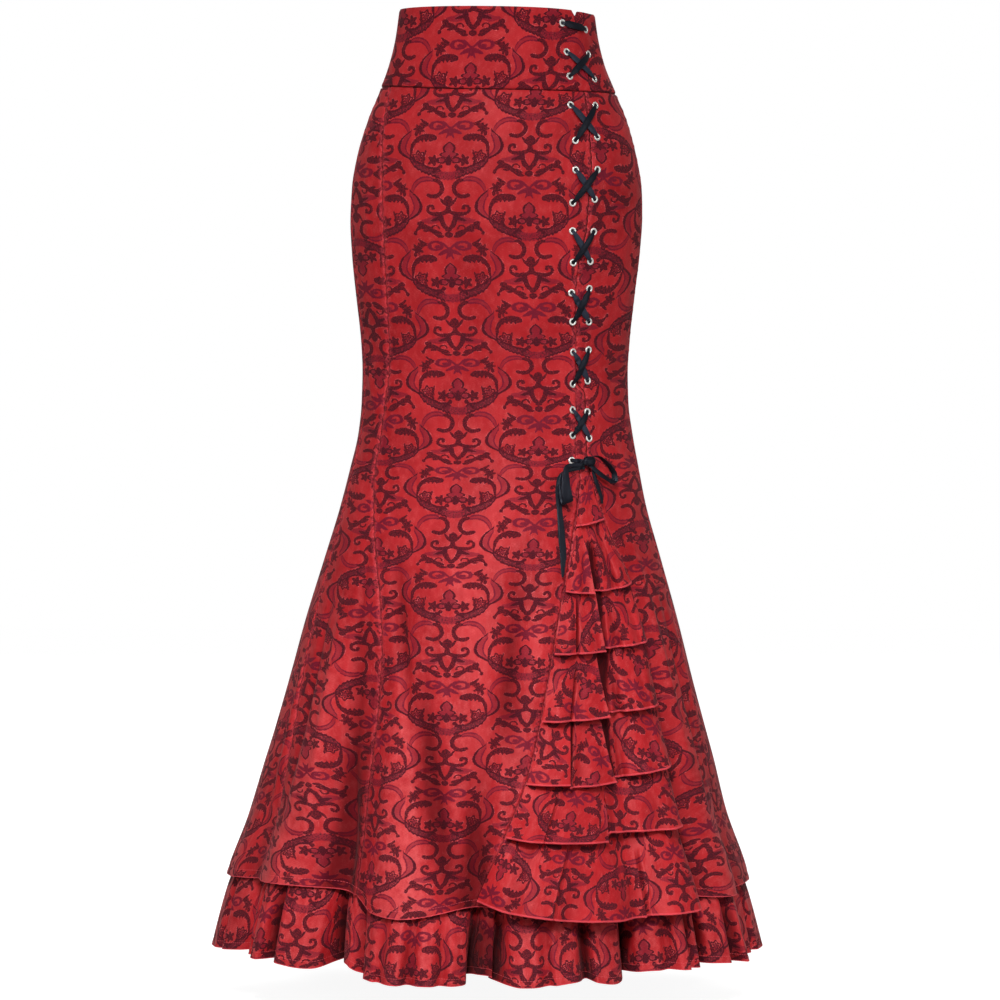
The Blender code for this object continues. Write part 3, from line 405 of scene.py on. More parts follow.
RIGHT_TAIL = (
    # x,     drop,   lift,   width,  turn
    (0.1000, 0.4618, 0.0064, 0.0034, 0.0),
    (0.1016, 0.4700, 0.0056, 0.0044, 0.0),
    (0.1035, 0.4775, 0.0058, 0.0048, 0.0),
    (0.1054, 0.4850, 0.0068, 0.0048, 0.0),
    (0.1072, 0.4925, 0.0076, 0.0042, 0.0),
    (0.1090, 0.5015, 0.0080, 0.0018, 0.0),
)

# Creases that are too fine for the solids: soft ridges and troughs that fade out at both ends.
CREASES = np.array([
    # angle, drop, to_angle, to_drop, reach_mm, depth_mm, bow_mm
    (-35, 0.555, -20.5, 0.745, 7.5, -9, 4), (-19.5, 0.66, -5, 0.935, 13, -11.5, -6),
    (-27, 0.62, -24, 0.93, 14, 6.5, 0), (-42.5, 0.59, -38, 0.86, 8, -6, 2), (-14, 0.54, -5, 0.76, 10, 3, 0),
    (-3.9, 0.8, -1.5, 0.935, 8, -6, 0), (-39, 0.77, -33, 0.915, 9, -8, 0), (3, 0.7, 3, 0.9, 9, 4, 0),
    (9, 0.56, 1, 0.8, 11, -9, 2), (21, 0.53, 12, 0.72, 10, 3.8, -2), (-54, 0.58, -46, 0.88, 9, 4.6, 3),
    (-62, 0.58, -57, 0.85, 7, -4.4, 0), (-48, 0.54, -41, 0.76, 6, -4.4, 2), (-70, 0.64, -66, 0.88, 6, 3.6, 0),
    (-66, 0.09, -60, 0.24, 8, 1.1, 2), (-46, 0.13, -31, 0.205, 9, -0.9, 2), (-28, 0.09, -20, 0.25, 10, 0.8, 0),
    (0, 0.11, 8, 0.27, 12, -0.7, 3), (20, 0.09, 26, 0.21, 8, 0.8, 0), (-60, 0.07, -28, 0.084, 6, -0.7, 1),
    (-8, 0.072, 30, 0.082, 6, -0.6, -1), (-51, 0.385, -37, 0.452, 6, -1.2, 2), (-50, 0.425, -35, 0.495, 6, 1.3, 2),
    (-46, 0.475, -33, 0.54, 6, -1.4, 0), (-20, 0.4, 4, 0.44, 8, -0.8, 3), (-74, 0.3, -58, 0.35, 6, -0.9, 0),
    (-75, 0.35, -60, 0.41, 6, 1, 1), (36, 0.21, 26, 0.215, 3.4, 0.6, 0), (34, 0.243, 23, 0.251, 3.4, 0.7, 0),
    (34, 0.275, 20, 0.284, 3.8, 0.9, 1), (35.5, 0.306, 24, 0.315, 3.6, 0.8, 0), (36, 0.338, 23, 0.347, 3.8, 0.9, -1),
    (36, 0.372, 21, 0.384, 4, 1, 0), (35, 0.401, 22, 0.411, 4, 1, 1), (33.5, 0.428, 19, 0.443, 4.4, 1.2, 0),
    (45, 0.243, 56, 0.247, 3.4, 0.6, 0), (45, 0.272, 58, 0.279, 3.4, 0.7, 0), (46, 0.306, 58, 0.311, 3.6, 0.8, 0),
    (46, 0.338, 60, 0.345, 3.6, 0.9, 1), (46, 0.37, 59, 0.376, 3.8, 0.9, 0), (46, 0.403, 61, 0.411, 4, 1, 0),
    (46.5, 0.431, 63, 0.443, 4.4, 1.2, 1), (58, 0.54, 62, 0.8, 7, 4.6, 0), (53, 0.78, 53.5, 0.915, 7, -6, 0),
    (70, 0.58, 68, 0.86, 7, -4.6, 2), (54, 0.6, 55, 0.76, 5, -3.6, 0), (76, 0.62, 75, 0.86, 6, 3.4, 0),
    (62, 0.43, 78, 0.47, 7, -1, 0), (101, 0.09, 112, 0.25, 9, 1, 2), (131, 0.08, 122, 0.21, 9, -0.9, 0),
    (150, 0.11, 160, 0.26, 10, 0.9, 0), (176, 0.09, 177, 0.29, 8, -0.8, 1), (196, 0.1, 188, 0.24, 9, 0.9, 0),
    (226, 0.09, 236, 0.23, 9, -0.9, 2), (256, 0.1, 248, 0.25, 8, 1, 0), (120, 0.4, 136, 0.46, 7, 1.1, 0),
    (148, 0.37, 173, 0.432, 7, -1.3, 2), (158, 0.43, 178, 0.492, 7, 1.4, 1), (207, 0.365, 189, 0.43, 7, 1.2, -2),
    (217, 0.415, 198, 0.482, 7, -1.3, -2), (241, 0.39, 225, 0.455, 7, -1.2, 0), (105, 0.54, 108, 0.82, 8, 2.8, 2),
    (119, 0.58, 121, 0.86, 6, -3, 0), (135, 0.53, 138, 0.8, 10, 2.8, 3), (150, 0.6, 152, 0.87, 7, -3.2, 0),
    (165, 0.54, 166, 0.82, 9, 2.6, -2), (181, 0.58, 182, 0.88, 8, 3, 2), (197, 0.56, 196, 0.84, 7, -3, 0),
    (212, 0.58, 213, 0.86, 8, 2.8, 0), (227, 0.54, 229, 0.82, 9, 2.4, -3), (243, 0.6, 244, 0.88, 7, -2.8, 0),
    (257, 0.56, 259, 0.84, 8, 2.8, 2),
])

# Small puckers along a sewn seam, as uneven waves: drops between two crests, in turn.
PUCKER_STEPS = (0.011, 0.008, 0.014, 0.009, 0.012, 0.007, 0.010, 0.015, 0.008)
PUCKER_DEPTH = 0.00080
PUCKER_REACH = 0.0070

# Finer folds of the tiers, over those of TIER_FOLDS: each starts at a share of the way down, and grows to the hem.
TIER_CREASES = {
    # tier: (across, reach, depth, start) of each crease
    "tier_1": ((0.3, 0.1, 0.0012, 0.2), (0.72, 0.08, -0.0012, 0)),
    "tier_2": ((0.12, 0.05, -0.0014, 0.1), (0.42, 0.06, -0.0016, 0.3), (0.8, 0.06, 0.0016, 0)),
    "tier_3": ((0.1, 0.05, 0.0014, 0.2), (0.4, 0.06, -0.002, 0.2), (0.7, 0.05, -0.0018, 0.1)),
    "tier_4": (
        (0.09, 0.04, 0.0016, 0.1), (0.4, 0.05, -0.0022, 0.3), (0.7, 0.05, -0.002, 0), (0.92, 0.04, -0.0016, 0.2),
    ),
    "tier_5": ((0.12, 0.05, -0.002, 0.2), (0.45, 0.05, -0.0024, 0.2), (0.7, 0.05, -0.002, 0.1)),
    "tier_6": (
        (0.1, 0.05, 0.002, 0.2), (0.36, 0.05, -0.0024, 0.3), (0.64, 0.05, -0.0022, 0.1), (0.9, 0.04, -0.002, 0.2),
    ),
    "tier_7": ((0.26, 0.05, -0.0026, 0.2), (0.52, 0.05, -0.0024, 0.1), (0.77, 0.05, -0.0022, 0.3)),
}

# Narrow deep gaps in the tiers, where one fold of the cloth laps over the next: the gap's place across the tier at its
# top and hem, the share of the way down where it starts, half its width at the top and hem, its depth, how much higher
# the hem is on its right, and the side of the fold that laps over it.
TIER_SLOTS = {
    # tier: (top, hem, start, top_mm, hem_mm, depth_mm, step_mm, side) of each gap
    "tier_2": ((0.37, 0.4, 0.38, 4.4, 4.4, 10, 2, -1),),
    "tier_3": ((0.47, 0.48, 0, 5.6, 2.8, 11, 3, -1), (0.17, 0.23, 0.25, 2, 1.6, 6, 0, 1)),
    "tier_4": ((0.49, 0.51, 0, 11, 2.8, 13, 4, -1), (0.24, 0.23, 0.35, 1.8, 1.5, 5, 0, 1)),
    "tier_5": ((0.5, 0.545, 0, 7.6, 3, 12, 4, -1), (0.23, 0.26, 0.05, 2.2, 1.8, 8, -3, 1)),
    "tier_6": ((0.49, 0.49, 0.45, 2, 2.4, 8, 9, -1), (0.22, 0.2, 0.35, 1.8, 1.6, 2.6, 0, -1)),
    "tier_7": ((0.33, 0.31, 0.2, 2.4, 2.6, 2.8, 0, -1), (0.7, 0.74, 0.3, 2, 2.2, 3, 2, 1)),
}
SLOT_LIP = 0.0016  # how far the lapping fold's edge stands out
SLOT_LEAN = 0.0020  # how far it leans over
SLOT_DEEP = 8.0  # in mm: a slot this deep has the whole lip
SLOT_OPENS = 0.12  # the share of the way down over which a slot opens
SLOT_LIP_REACH = 0.0017
SLOT_LEAN_REACH = 0.0024
TIER_SIDE = 0.14  # the share of a tier's width over which its sides come down
TIER_LEAST = 0.0006  # how far a slot's floor at least lies above the sewn edge
TIER_LEAST_HEM = 0.0030  # and how much more at the hem
TIER_SHADE = 0.45  # how dark the painted shade in the folds of a tier is
TIER_SHADE_DEEP = 0.009
TIER_LEAN = 0.8  # how far a fold of a tier leans over, as a share of its depth
FOLD_DARK = 0.72  # how dark the painted shade in the deepest folds of the panels is
FLUTE_DEEP = 0.013  # a fold this deep has that much painted shade
CREASE_DEEP = 0.0095  # and so does a crease this deep
# a ridge this high has the whole painted highlight
RIDGE_HIGH = 0.011
PLEAT_LEAN = 0.45
PLEAT_GAP_REACH = 1.15  # half the width of the dark gap in a deep pleat of the ruffle, in degrees
PLEAT_GAP_DEPTH = 0.007
PLEAT_GAP_LEAST = 0.008  # a pleat this deep has no dark gap
PLEAT_GAP_RANGE = 0.014  # and one deeper by this has the whole one
PLEAT_SHARP = 0.85
RUFFLE_SHADES = (
    # angle, reach, how dark: what lies deep between the pleats
    (-49.8, 1.3, 0.85), (-36.6, 1.3, 0.85), (0.6, 2.9, 0.7), (33, 1.6, 0.6), (47, 1.6, 0.8), (55.5, 1.4, 0.85),
    (64, 1.8, 0.8), (77, 2.6, 0.8), (112, 1.6, 0.5), (143, 1.5, 0.6), (173, 1.5, 0.6), (205, 1.5, 0.5),
    (235, 1.5, 0.6),
)
HEM_BEAD = 0.0006  # how much the rolled edge of a tier stands out on each face
HEM_BEAD_REACH = 0.0011
HEM_BEAD_AT = 0.0009

# Where the damask sits on the front: the angle of one column of motifs, and the length down the cloth.
GRAIN = np.array([
    # drop, angle, down_mm
    (-0.035, -20.5, -156), (0.056, -20.4, -68), (0.1208, -19.7, 0), (0.1854, -18.9, 64.5), (0.2499, -18, 129),
    (0.3145, -16.9, 193.5), (0.3713, -15.9, 258), (0.4331, -15.1, 322.5), (0.4829, -14.4, 387),
    (0.5406, -13.9, 451.5), (0.5935, -13.4, 516), (0.6511, -12.5, 580.5), (0.7085, -11.6, 645), (0.8178, -10.6, 774),
    (0.93, -9.8, 906),
])
CLOTH_EASE = 0.6  # how far the pattern is widened where the skirt turns away from the front, from 0 to 1
CLOTH_EASE_MOST = 0.62
GRAIN_TOP = 0.06  # where a grain line of CUTS starts to lean
GRAIN_RUN = 0.85

# How each piece is cut from the cloth: the angle of its own grain line at the top and the hem, a turn of the pattern in
# degrees, and where the pattern's nearest spade stands from the grain line and from drop 0.1208, in mm.
CUTS = {
    # piece:            (top_angle, hem_angle, turn, across_mm, down_mm)
    "waistband_front": (-13.5, -13.5, 0.0, 0.0, -87.3),
    "waistband_back": (180.0, 180.0, 0.0, 0.0, 40.0),
    "front_left": (-82.7, -19.0, 180.0, 0.0, -1.0),
    "front_right": (111.7, 31.0, 180.0, 0.0, 53.9),
    "back_left": (228.0, 240.0, 0.0, 10.0, 22.0),
    "back_right": (132.0, 124.0, 0.0, -14.0, 54.0),
    "godet_insert": (39.0, 28.0, 0.0, 6.0, 12.0),
}
TIER_CUTS = {
    # tier:    (turn, across_mm, up_mm) of a spade from the middle of the tier's hem
    "tier_1": (20.0, 6.0, 14.0),
    "tier_2": (70.0, -8.0, 18.0),
    "tier_3": (205.0, 14.0, 22.0),
    "tier_4": (150.0, -30.0, 30.0),
    "tier_5": (-28.0, -18.0, 12.0),
    "tier_6": (-14.0, -44.0, 34.0),
    "tier_7": (178.0, 26.0, 28.0),
}
RUFFLE_CUT = (0.0, 0.0, 28.0)  # the same three for the hem ruffle

# ---- the skirt's form


def curve_value(table, column, at):
    """One column of a table at any key, on a smooth curve through the rows that never overshoots them."""
    keys, values = table[:, 0], table[:, column]
    steps = np.diff(keys)
    rises = np.diff(values) / steps
    before, after = rises[:-1], rises[1:]
    together = before * after > 0
    total = np.where(together, before + after, 1.0)
    inner = np.where(together, 2 * before * after / total, 0.0)
    slopes = np.concatenate([rises[:1], inner, rises[-1:]])
    at = np.clip(at, keys[0], keys[-1])
    i = np.clip(np.searchsorted(keys, at) - 1, 0, len(keys) - 2)
    step = steps[i]
    t = (at - keys[i]) / step
    start = (1 + 2 * t) * (1 - t) ** 2 * values[i] + t * (1 - t) ** 2 * step * slopes[i]
    end = t**2 * (3 - 2 * t) * values[i + 1] + t**2 * (t - 1) * step * slopes[i + 1]
    return start + end


def turned(angle):
    """An angle as its equal from -180 to 180."""
    return (np.asarray(angle) + 180.0) % 360.0 - 180.0


def ramp(value):
    """A value kept between 0 and 1."""
    return np.clip(value, 0.0, 1.0)


def hump(away, reach, power=2):
    """A bell over a distance: 1 at its middle, and almost nothing two reaches away."""
    return np.exp(-((away / reach) ** power))


def edge_drop(table, angle):
    return curve_value(table, 1, turned(angle))


def seam_angle(seam, drop):
    return curve_value(SEAMS, seam, drop)


def flute_lift(angle, drop):
    """How far the soft folds move the cloth in or out."""
    lift = np.zeros(np.broadcast(angle, drop).shape)
    for centre, reach, depth, start in FLUTES:
        grown = np.clip((drop - start) / (FLUTE_FULL_DROP - start), 0.0, 1.3) ** FLUTE_GROWTH
        lift = lift + depth * grown * hump(turned(angle - centre), reach)
    return lift


def crease_lift(angle, drop):
    """How far the fine creases move the cloth in or out."""
    lift = np.zeros(np.broadcast(angle, drop).shape)
    for first, start, last, end, reach, depth, bow in CREASES:
        radius = curve_value(SECTIONS, 1, (start + end) / 2)
        run, fall = math.radians(last - first) * radius, end - start
        length = math.hypot(run, fall)
        x, y = np.radians(turned(angle - first)) * radius, drop - start
        along = ramp((x * run + y * fall) / length**2)
        across = (x * fall - y * run) / length - bow / 1000 * 4 * along * (1 - along)
        lift = lift + depth / 1000 * np.sin(math.pi * along) ** 0.8 * hump(across * 1000, reach)
    return lift


def fold_shares(angle, drop):
    """Painted shade for a place deep in a fold, and painted highlight for one high on a ridge, each from 0 to 1."""
    crease = crease_lift(angle, drop)
    lift = flute_lift(angle, drop) + crease
    deep = ramp(np.maximum(-lift / FLUTE_DEEP, -crease / CREASE_DEEP)) ** 1.3
    high = ramp(lift / RIDGE_HIGH) * (1.0 - deep)
    return np.stack([FOLD_DARK * deep, high], axis=-1)


def section(drop):
    return (curve_value(SECTIONS, k, drop) for k in range(1, 5))


def way_round(angle, drop):
    """The unit vector along the skirt's level section, towards larger angles, and the share of it that faces front."""
    half_width, _, front, back = section(drop)
    turn = np.radians(angle)
    depth = np.where(np.cos(turn) > 0, front, back)
    x, y = half_width * np.cos(turn), depth * np.sin(turn)
    length = np.hypot(x, y)
    return np.stack([x / length, y / length, np.zeros_like(x)], axis=-1), np.abs(x) / length


def skirt_surface(angle, drop, lift=0.0):
    """Points of the skirt's outer face, moved out by lift."""
    angle, drop, lift = np.broadcast_arrays(angle, drop, lift)
    half_width, centre_x, front, back = section(drop)
    turn = np.radians(angle)
    depth = np.where(np.cos(turn) > 0, front, back)
    out_x, out_y = np.sin(turn) / half_width, -np.cos(turn) / depth
    length = np.hypot(out_x, out_y)
    lift = lift + flute_lift(angle, drop) + crease_lift(angle, drop)
    x = centre_x + half_width * np.sin(turn) + lift * out_x / length
    y = -depth * np.cos(turn) + lift * out_y / length
    return np.stack([x, y, -drop], axis=-1)


# ---- shells of cloth


def unit(vectors):
    return vectors / np.maximum(np.linalg.norm(vectors, axis=-1, keepdims=True), 1e-12)


def grid_normals(points):
    """Outward normals of a grid whose rows run down and whose columns run towards larger angles."""
    return unit(np.cross(np.gradient(points, axis=0), np.gradient(points, axis=1)))


def spread(length, step, fine=(0.0006, 0.0013, 0.0021, 0.0032)):
    """Shares from 0 to 1 along a length: fine steps at both ends, and even ones between them."""
    ends = np.array([0.0, *fine])
    count = max(2, round((length - 2 * fine[-1]) / step))
    middle = np.linspace(fine[-1], length - fine[-1], count + 1)[1:-1]
    return np.concatenate([ends, middle, length - ends[::-1]]) / length


def lengths(points, axis):
    """How far each point of a grid lies from its first row or column, along the cloth."""
    steps = np.linalg.norm(np.diff(points, axis=axis), axis=-1)
    start = np.zeros_like(points[:1, :, 0] if axis == 0 else points[:, :1, 0])
    return np.concatenate([start, np.cumsum(steps, axis=axis)], axis=axis)


def border_map(points):
    """For each point of a grid, its distance from the bottom edge and from the nearer side edge."""
    down, across = lengths(points, 0), lengths(points, 1)
    return np.stack([down[-1:] - down, np.minimum(across, across[:, -1:] - across)], axis=-1)


def rim_quads(rows, columns):
    """Quads that join the outer grid's border to the inner grid's."""
    border = np.concatenate([
        np.arange(columns),
        np.arange(1, rows) * columns + columns - 1,
        (rows - 1) * columns + np.arange(columns - 2, -1, -1),
        np.arange(rows - 2, 0, -1) * columns,
    ])
    after = np.roll(border, -1)
    count = rows * columns
    return np.stack([border, after, after + count, border + count], axis=1)


def grid_quads(rows, columns):
    a = (np.arange(rows - 1)[:, None] * columns + np.arange(columns - 1)).ravel()
    return np.stack([a, a + columns, a + columns + 1, a + 1], axis=1)


def linked(name, data):
    """A new object in the scene."""
    made = bpy.data.objects.new(name, data)
    bpy.context.scene.collection.objects.link(made)
    return made


def dress(made, node):
    """The piece rides on the skirt's one body, in the place of a node."""
    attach(made, "root")
    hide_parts(node)
    return made


def finished_mesh(name, points, faces, look, maps):
    """An object of the skirt from points, faces and a material, with a UV map for each named grid."""
    mesh = bpy.data.meshes.new(name)
    mesh.from_pydata(points.tolist(), [], faces)
    mesh.materials.append(look)
    corner = np.empty(len(mesh.loops), dtype=np.int32)
    mesh.loops.foreach_get("vertex_index", corner)
    for key, values in maps.items():
        layer = mesh.uv_layers.new(name=key)
        layer.uv.foreach_set("vector", values[corner].astype(np.float32).ravel())
    mesh.shade_smooth()
    mesh.set_sharp_from_angle(angle=math.radians(62))
    return linked(name, mesh)


def cloth_shell(node, points, flat, look, thick=CLOTH_THICK, bead=0.0, fold=None):
    """A thin closed shell on a grid of outer points. flat is the grid's place on the flat cloth, in metres. bead is how
    much the hem's rolled edge stands out, and fold the share of painted shade and of painted highlight at each point."""
    rows, columns = points.shape[:2]
    normals = grid_normals(points)
    border = border_map(points)
    out = bead * hump(border[..., :1] - HEM_BEAD_AT, HEM_BEAD_REACH)
    if fold is None:
        fold = np.zeros((rows, columns, 2))
    outer, inner = points + normals * out, points - normals * (thick + out)
    corners = np.concatenate([outer.reshape(-1, 3), inner.reshape(-1, 3)])
    quads = grid_quads(rows, columns)
    faces = np.concatenate([quads, quads[:, ::-1] + rows * columns, rim_quads(rows, columns)])
    maps = {"cloth": flat, "border": border, "fold": fold}
    maps = {key: np.tile(values.reshape(-1, 2), (2, 1)) for key, values in maps.items()}
    return dress(finished_mesh(f"{node}_cloth", corners, faces.tolist(), look, maps), node)


# ---- the flat cloth


def turned_flat(x, y, turn):
    """Places on the flat cloth, turned by so many degrees."""
    tilt = math.radians(turn)
    return np.stack([x * math.cos(tilt) - y * math.sin(tilt), x * math.sin(tilt) + y * math.cos(tilt)], axis=-1)


def flat_place(points, angle, drop, cut):
    """Where each point of a panel's grid lies on the flat cloth, in metres, with the cloth's Y down. Without a cut, its
    grain is the column of motifs that GRAIN follows."""
    steps = np.linalg.norm(np.diff(points, axis=1), axis=2)
    if abs(turned(angle.mean())) < 90.0:
        ease = np.maximum(way_round(angle, drop)[1] ** CLOTH_EASE, CLOTH_EASE_MOST)
        steps = steps * (ease[:, 1:] + ease[:, :-1]) / 2
    across = np.concatenate([np.zeros_like(angle[:, :1]), np.cumsum(steps, axis=1)], axis=1)
    middle_drop = drop.mean(axis=1)
    if cut:
        top_angle, hem_angle, turn, *shift = cut
        grain = top_angle + (hem_angle - top_angle) * ramp((middle_drop - GRAIN_TOP) / GRAIN_RUN)
    else:
        grain, turn, shift = curve_value(GRAIN, 1, middle_drop), 0.0, (0.0, 0.0)
    start = np.array([np.interp(g, a, s) for g, a, s in zip(grain, angle, across)])
    beyond = grain - np.clip(grain, angle[:, 0], angle[:, -1])
    start = start + beyond * across[:, -1] / (angle[:, -1] - angle[:, 0])
    return turned_flat(across - start[:, None], curve_value(GRAIN, 2, drop) / 1000, turn) - np.array(shift) / 1000


def hanging_place(points, turn, across_mm, up_mm):
    """Where a gathered piece's grid lies on the flat cloth: a spade stands so far from the middle of its hem."""
    along, down = lengths(points, 1)[-1:], lengths(points, 0)
    x = along - along[:, [along.shape[1] // 2]] - across_mm / 1000
    return turned_flat(x, down - down[-1:] + up_mm / 1000, turn)


# ---- waistband and panels


def pucker_lift(side, drop):
    """Small uneven puckers beside a seam, at a distance of side from it."""
    crests = np.cumsum(np.tile(PUCKER_STEPS, 12))
    wave = np.cos(2 * math.pi * np.interp(drop + 0.05, crests, np.arange(len(crests))))
    return PUCKER_DEPTH * wave * hump(side, PUCKER_REACH)


def seam_lift(side):
    return -SEAM_DIP * hump(side, SEAM_DIP_REACH)


def stitch_lift(below, stitch_at, reach):
    """The shallow groove of the stitches above a hem."""
    return -STITCH_DIP * hump(below - stitch_at, reach)


def step_of(angle):
    return FRONT_STEP if abs(turned(angle)) < 85.0 else BACK_STEP


def panel_grid(left, right, first_drop, step):
    """Angles and drops of a panel between two edges, each a function of drop. Its first row starts at first_drop."""
    low, high = float(left(PANEL_HEM)), float(right(PANEL_HEM))
    across = spread(math.radians(high - low) * HEM_RADIUS, step)
    waist_angle = left(PANEL_TOP) + (right(PANEL_TOP) - left(PANEL_TOP)) * across
    hem_angle = low + (high - low) * across
    top, bottom = edge_drop(WAIST_SEAM, waist_angle), edge_drop(HEM, hem_angle)
    begin = (first_drop - PANEL_TOP) / (PANEL_HEM - PANEL_TOP)
    share = begin + (1.0 - begin) * spread(PANEL_HEM - first_drop, step)[:, None]
    drop = top + (bottom - top) * share
    angle = left(drop) + (right(drop) - left(drop)) * across
    return angle, drop


def seam(number, turn=0.0):
    return lambda drop: seam_angle(number, drop) + turn


def back_seam(drop):
    return np.full_like(np.asarray(drop, float), 180.0)


def lap_lift(node, angle, drop):
    """front_centre's edge laps over front_right beside the lower eyelets."""
    shown = ramp((drop - LAP_TOP) / LAP_FADE) * ramp((LAP_END - drop) / LAP_FADE_END)
    away = angle - seam_angle(CENTRE_EDGE, drop)
    if node == "front_centre":
        return LAP_RISE * shown * hump(away, LAP_RISE_REACH)
    if node in ("front_right", "godet_insert"):
        return -LAP_SINK * shown * hump(away, LAP_SINK_REACH)
    return 0.0


def panel(node, left, right, look, first_drop=PANEL_TOP):
    angle, drop = panel_grid(left, right, first_drop, step_of((float(left(0.5)) + float(right(0.5))) / 2))
    surface = skirt_surface(angle, drop)
    below, side = np.moveaxis(border_map(surface), -1, 0)
    lift = seam_lift(side) + pucker_lift(side, drop) + seam_lift(lengths(surface, 0)) + lap_lift(node, angle, drop)
    points = skirt_surface(angle, drop, lift + stitch_lift(below, PANEL_STITCH_AT, PANEL_STITCH_REACH))
    flat = flat_place(points, angle, drop, CUTS.get(node))
    return cloth_shell(node, points, flat, look, fold=fold_shares(angle, drop))


def waistband(node, low, high, look, notch=()):
    """One half of the band. Its columns keep the corners of the notch."""
    step = FRONT_STEP if notch else BACK_STEP
    knots = [low, *notch, high]
    angles = [np.array([low]), low + BAND_FINE, high - BAND_FINE]
    for start, end in zip(knots, knots[1:]):
        count = max(2, round(math.radians(end - start) * BAND_RADIUS / step))
        angles.append(np.linspace(start, end, count + 1)[1:])
    angles = np.sort(np.concatenate(angles))
    top, bottom = edge_drop(TOP_EDGE, angles), edge_drop(WAIST_SEAM, angles)
    drop = top + (bottom - top) * spread(BAND_LONG, step)[:, None]
    angle = np.broadcast_to(angles, drop.shape)
    surface = skirt_surface(angle, drop)
    below, side = np.moveaxis(border_map(surface), -1, 0)
    lift = BAND_LIFT + seam_lift(side) + seam_lift(below) * 1.3 + seam_lift(lengths(surface, 0)) * 0.7
    points = skirt_surface(angle, drop, lift + pucker_lift(below, np.radians(angle) * PUCKER_RADIUS) * 0.8)
    return cloth_shell(node, points, flat_place(points, angle, drop, CUTS[node]), look, thick=BAND_THICK)


# ---- tiers of the godet


def bend(left, middle, right, across):
    """A value across a tier, on the parabola through its left, middle and right."""
    away = 2.0 * across - 1.0
    return middle + (right - left) / 2 * away + ((left + right) / 2 - middle) * away**2


def tier_sag(name, hem, across):
    """The drop of a tier's hem. Right of a slot it is higher, and comes back to its line at the tier's edge."""
    drop = bend(*hem, across)
    for _, place, *_, step, _ in TIER_SLOTS.get(name, ()):
        away = ramp((across - place) / (1.0 - place))
        drop = drop - step / 1000 * ramp((across - place) / 0.012 + 0.5) * (1.0 - away) ** 0.8
    return drop


def tier_columns(name, wide):
    """Where a tier's columns stand across it: even ones, and fine ones at its slots."""
    across = [spread(wide, TIER_STEP)]
    for top, hem, _, top_mm, *_ in TIER_SLOTS.get(name, ()):
        reach = (top_mm + 3.0) / 1000 / wide
        low, high = min(top, hem) - reach, max(top, hem) + reach
        across.append(np.linspace(low, high, round((high - low) * wide / SLOT_STEP)))
    across = np.sort(np.concatenate(across))
    return across[np.concatenate([[True], np.diff(across) > 0.0002 / wide])]


def slot_shape(name, points, across, share):
    """How deep a tier's slots go in, how far their lips stand out and lean over, and the painted shade inside."""
    along = lengths(points, 1)
    depth, lip, lean, shade = (np.zeros(along.shape) for _ in range(4))
    for top, hem, start, top_mm, hem_mm, deep, _, side in TIER_SLOTS.get(name, ()):
        place = top + (hem - top) * share[:, 0]
        middle = np.array([np.interp(p, across, row) for p, row in zip(place, along)])
        away = along - middle[:, None]
        half = (top_mm + (hem_mm - top_mm) * share) / 1000
        grown = ramp((share - start) / SLOT_OPENS)
        depth = depth + deep / 1000 * grown * hump(away, half, 4)
        edge = away - side * (half + SLOT_LIP)
        grown = grown * min(1.0, deep / SLOT_DEEP)
        lip = lip + SLOT_LIP * grown * hump(edge, SLOT_LIP_REACH)
        lean = lean - side * SLOT_LEAN * grown * hump(edge, SLOT_LEAN_REACH)
        shade = np.maximum(shade, grown * hump(away, half * 1.05, 6))
    return depth, lip, lean, shade


def tier_folds(name, across, share):
    """How deep the folds of a tier go in, and how far they lean over sideways."""
    depth, lean = (np.zeros(np.broadcast(across, share).shape) for _ in range(2))
    for centre, reach, deep in TIER_FOLDS.get(name, ()):
        valley = deep * hump(across - centre, 0.72 * reach)
        depth = depth + valley
        lean = lean + TIER_LEAN * valley * (1.0 if centre > 0.45 else -1.0)
    for centre, reach, deep, start in TIER_CREASES[name]:
        depth = depth - deep * ramp((share - start) / (1.0 - start)) * hump(across - centre, reach)
    return depth, lean


def tier_points(number, across, share, angle, drop):
    """A tier stands off the insert: little at its sewn top and sides, most at its hem between the folds."""
    name, *_, stand_out = TIERS[number]
    away = np.minimum(1.0, np.minimum(across, 1.0 - across) / TIER_SIDE)
    side = TIER_EDGE_SHARE + (1.0 - TIER_EDGE_SHARE) * np.sin(away * math.pi / 2)
    depth, lean = tier_folds(name, across, share)
    grown = share**TIER_GROWTH
    base = TIER_BASE_LIFT + TIER_BASE_STEP * number
    lift = base + (stand_out * side - depth) * grown
    deep, lip, tilt, shade = slot_shape(name, skirt_surface(angle, drop, base), across, share)
    least = base + TIER_LEAST + TIER_LEAST_HEM * ramp((share - 0.70) / 0.15)
    lift = np.minimum(lift, np.maximum(lift - deep, least)) + lip
    soft = TIER_SHADE * ramp(depth / TIER_SHADE_DEEP) ** 2 * share
    points = skirt_surface(angle, drop, lift) + way_round(angle, drop)[0] * (lean * grown + tilt)[..., None]
    # The two shares are painted shade in the slots and folds, and a painted highlight on each slot's lip.
    return points, np.stack([np.maximum(shade, soft), ramp(lip / SLOT_LIP)], axis=-1)


def tier(number, look):
    name, *hem, _ = TIERS[number]
    wide = math.radians(seam_angle(RIGHT_EDGE, hem[1]) - seam_angle(CENTRE_EDGE, hem[1])) * GODET_RADIUS
    across = tier_columns(name, max(0.03, float(wide)))
    bottom = tier_sag(name, hem, across)
    top = bend(*TIERS[number - 1][1:4], across) - TIER_OVERLAP if number else np.full_like(bottom, TIER_TOP_DROP)
    share = spread(float(bottom.mean() - top.mean()), TIER_STEP, FINE_STEPS)[:, None]
    drop = top + (bottom - top) * share
    low, high = seam_angle(CENTRE_EDGE, drop), seam_angle(RIGHT_EDGE, drop)
    points, shade = tier_points(number, across, share, low + (high - low) * across, drop)
    return cloth_shell(name, points, hanging_place(points, *TIER_CUTS[name]), look, bead=HEM_BEAD, fold=shade)


# ---- hem ruffle


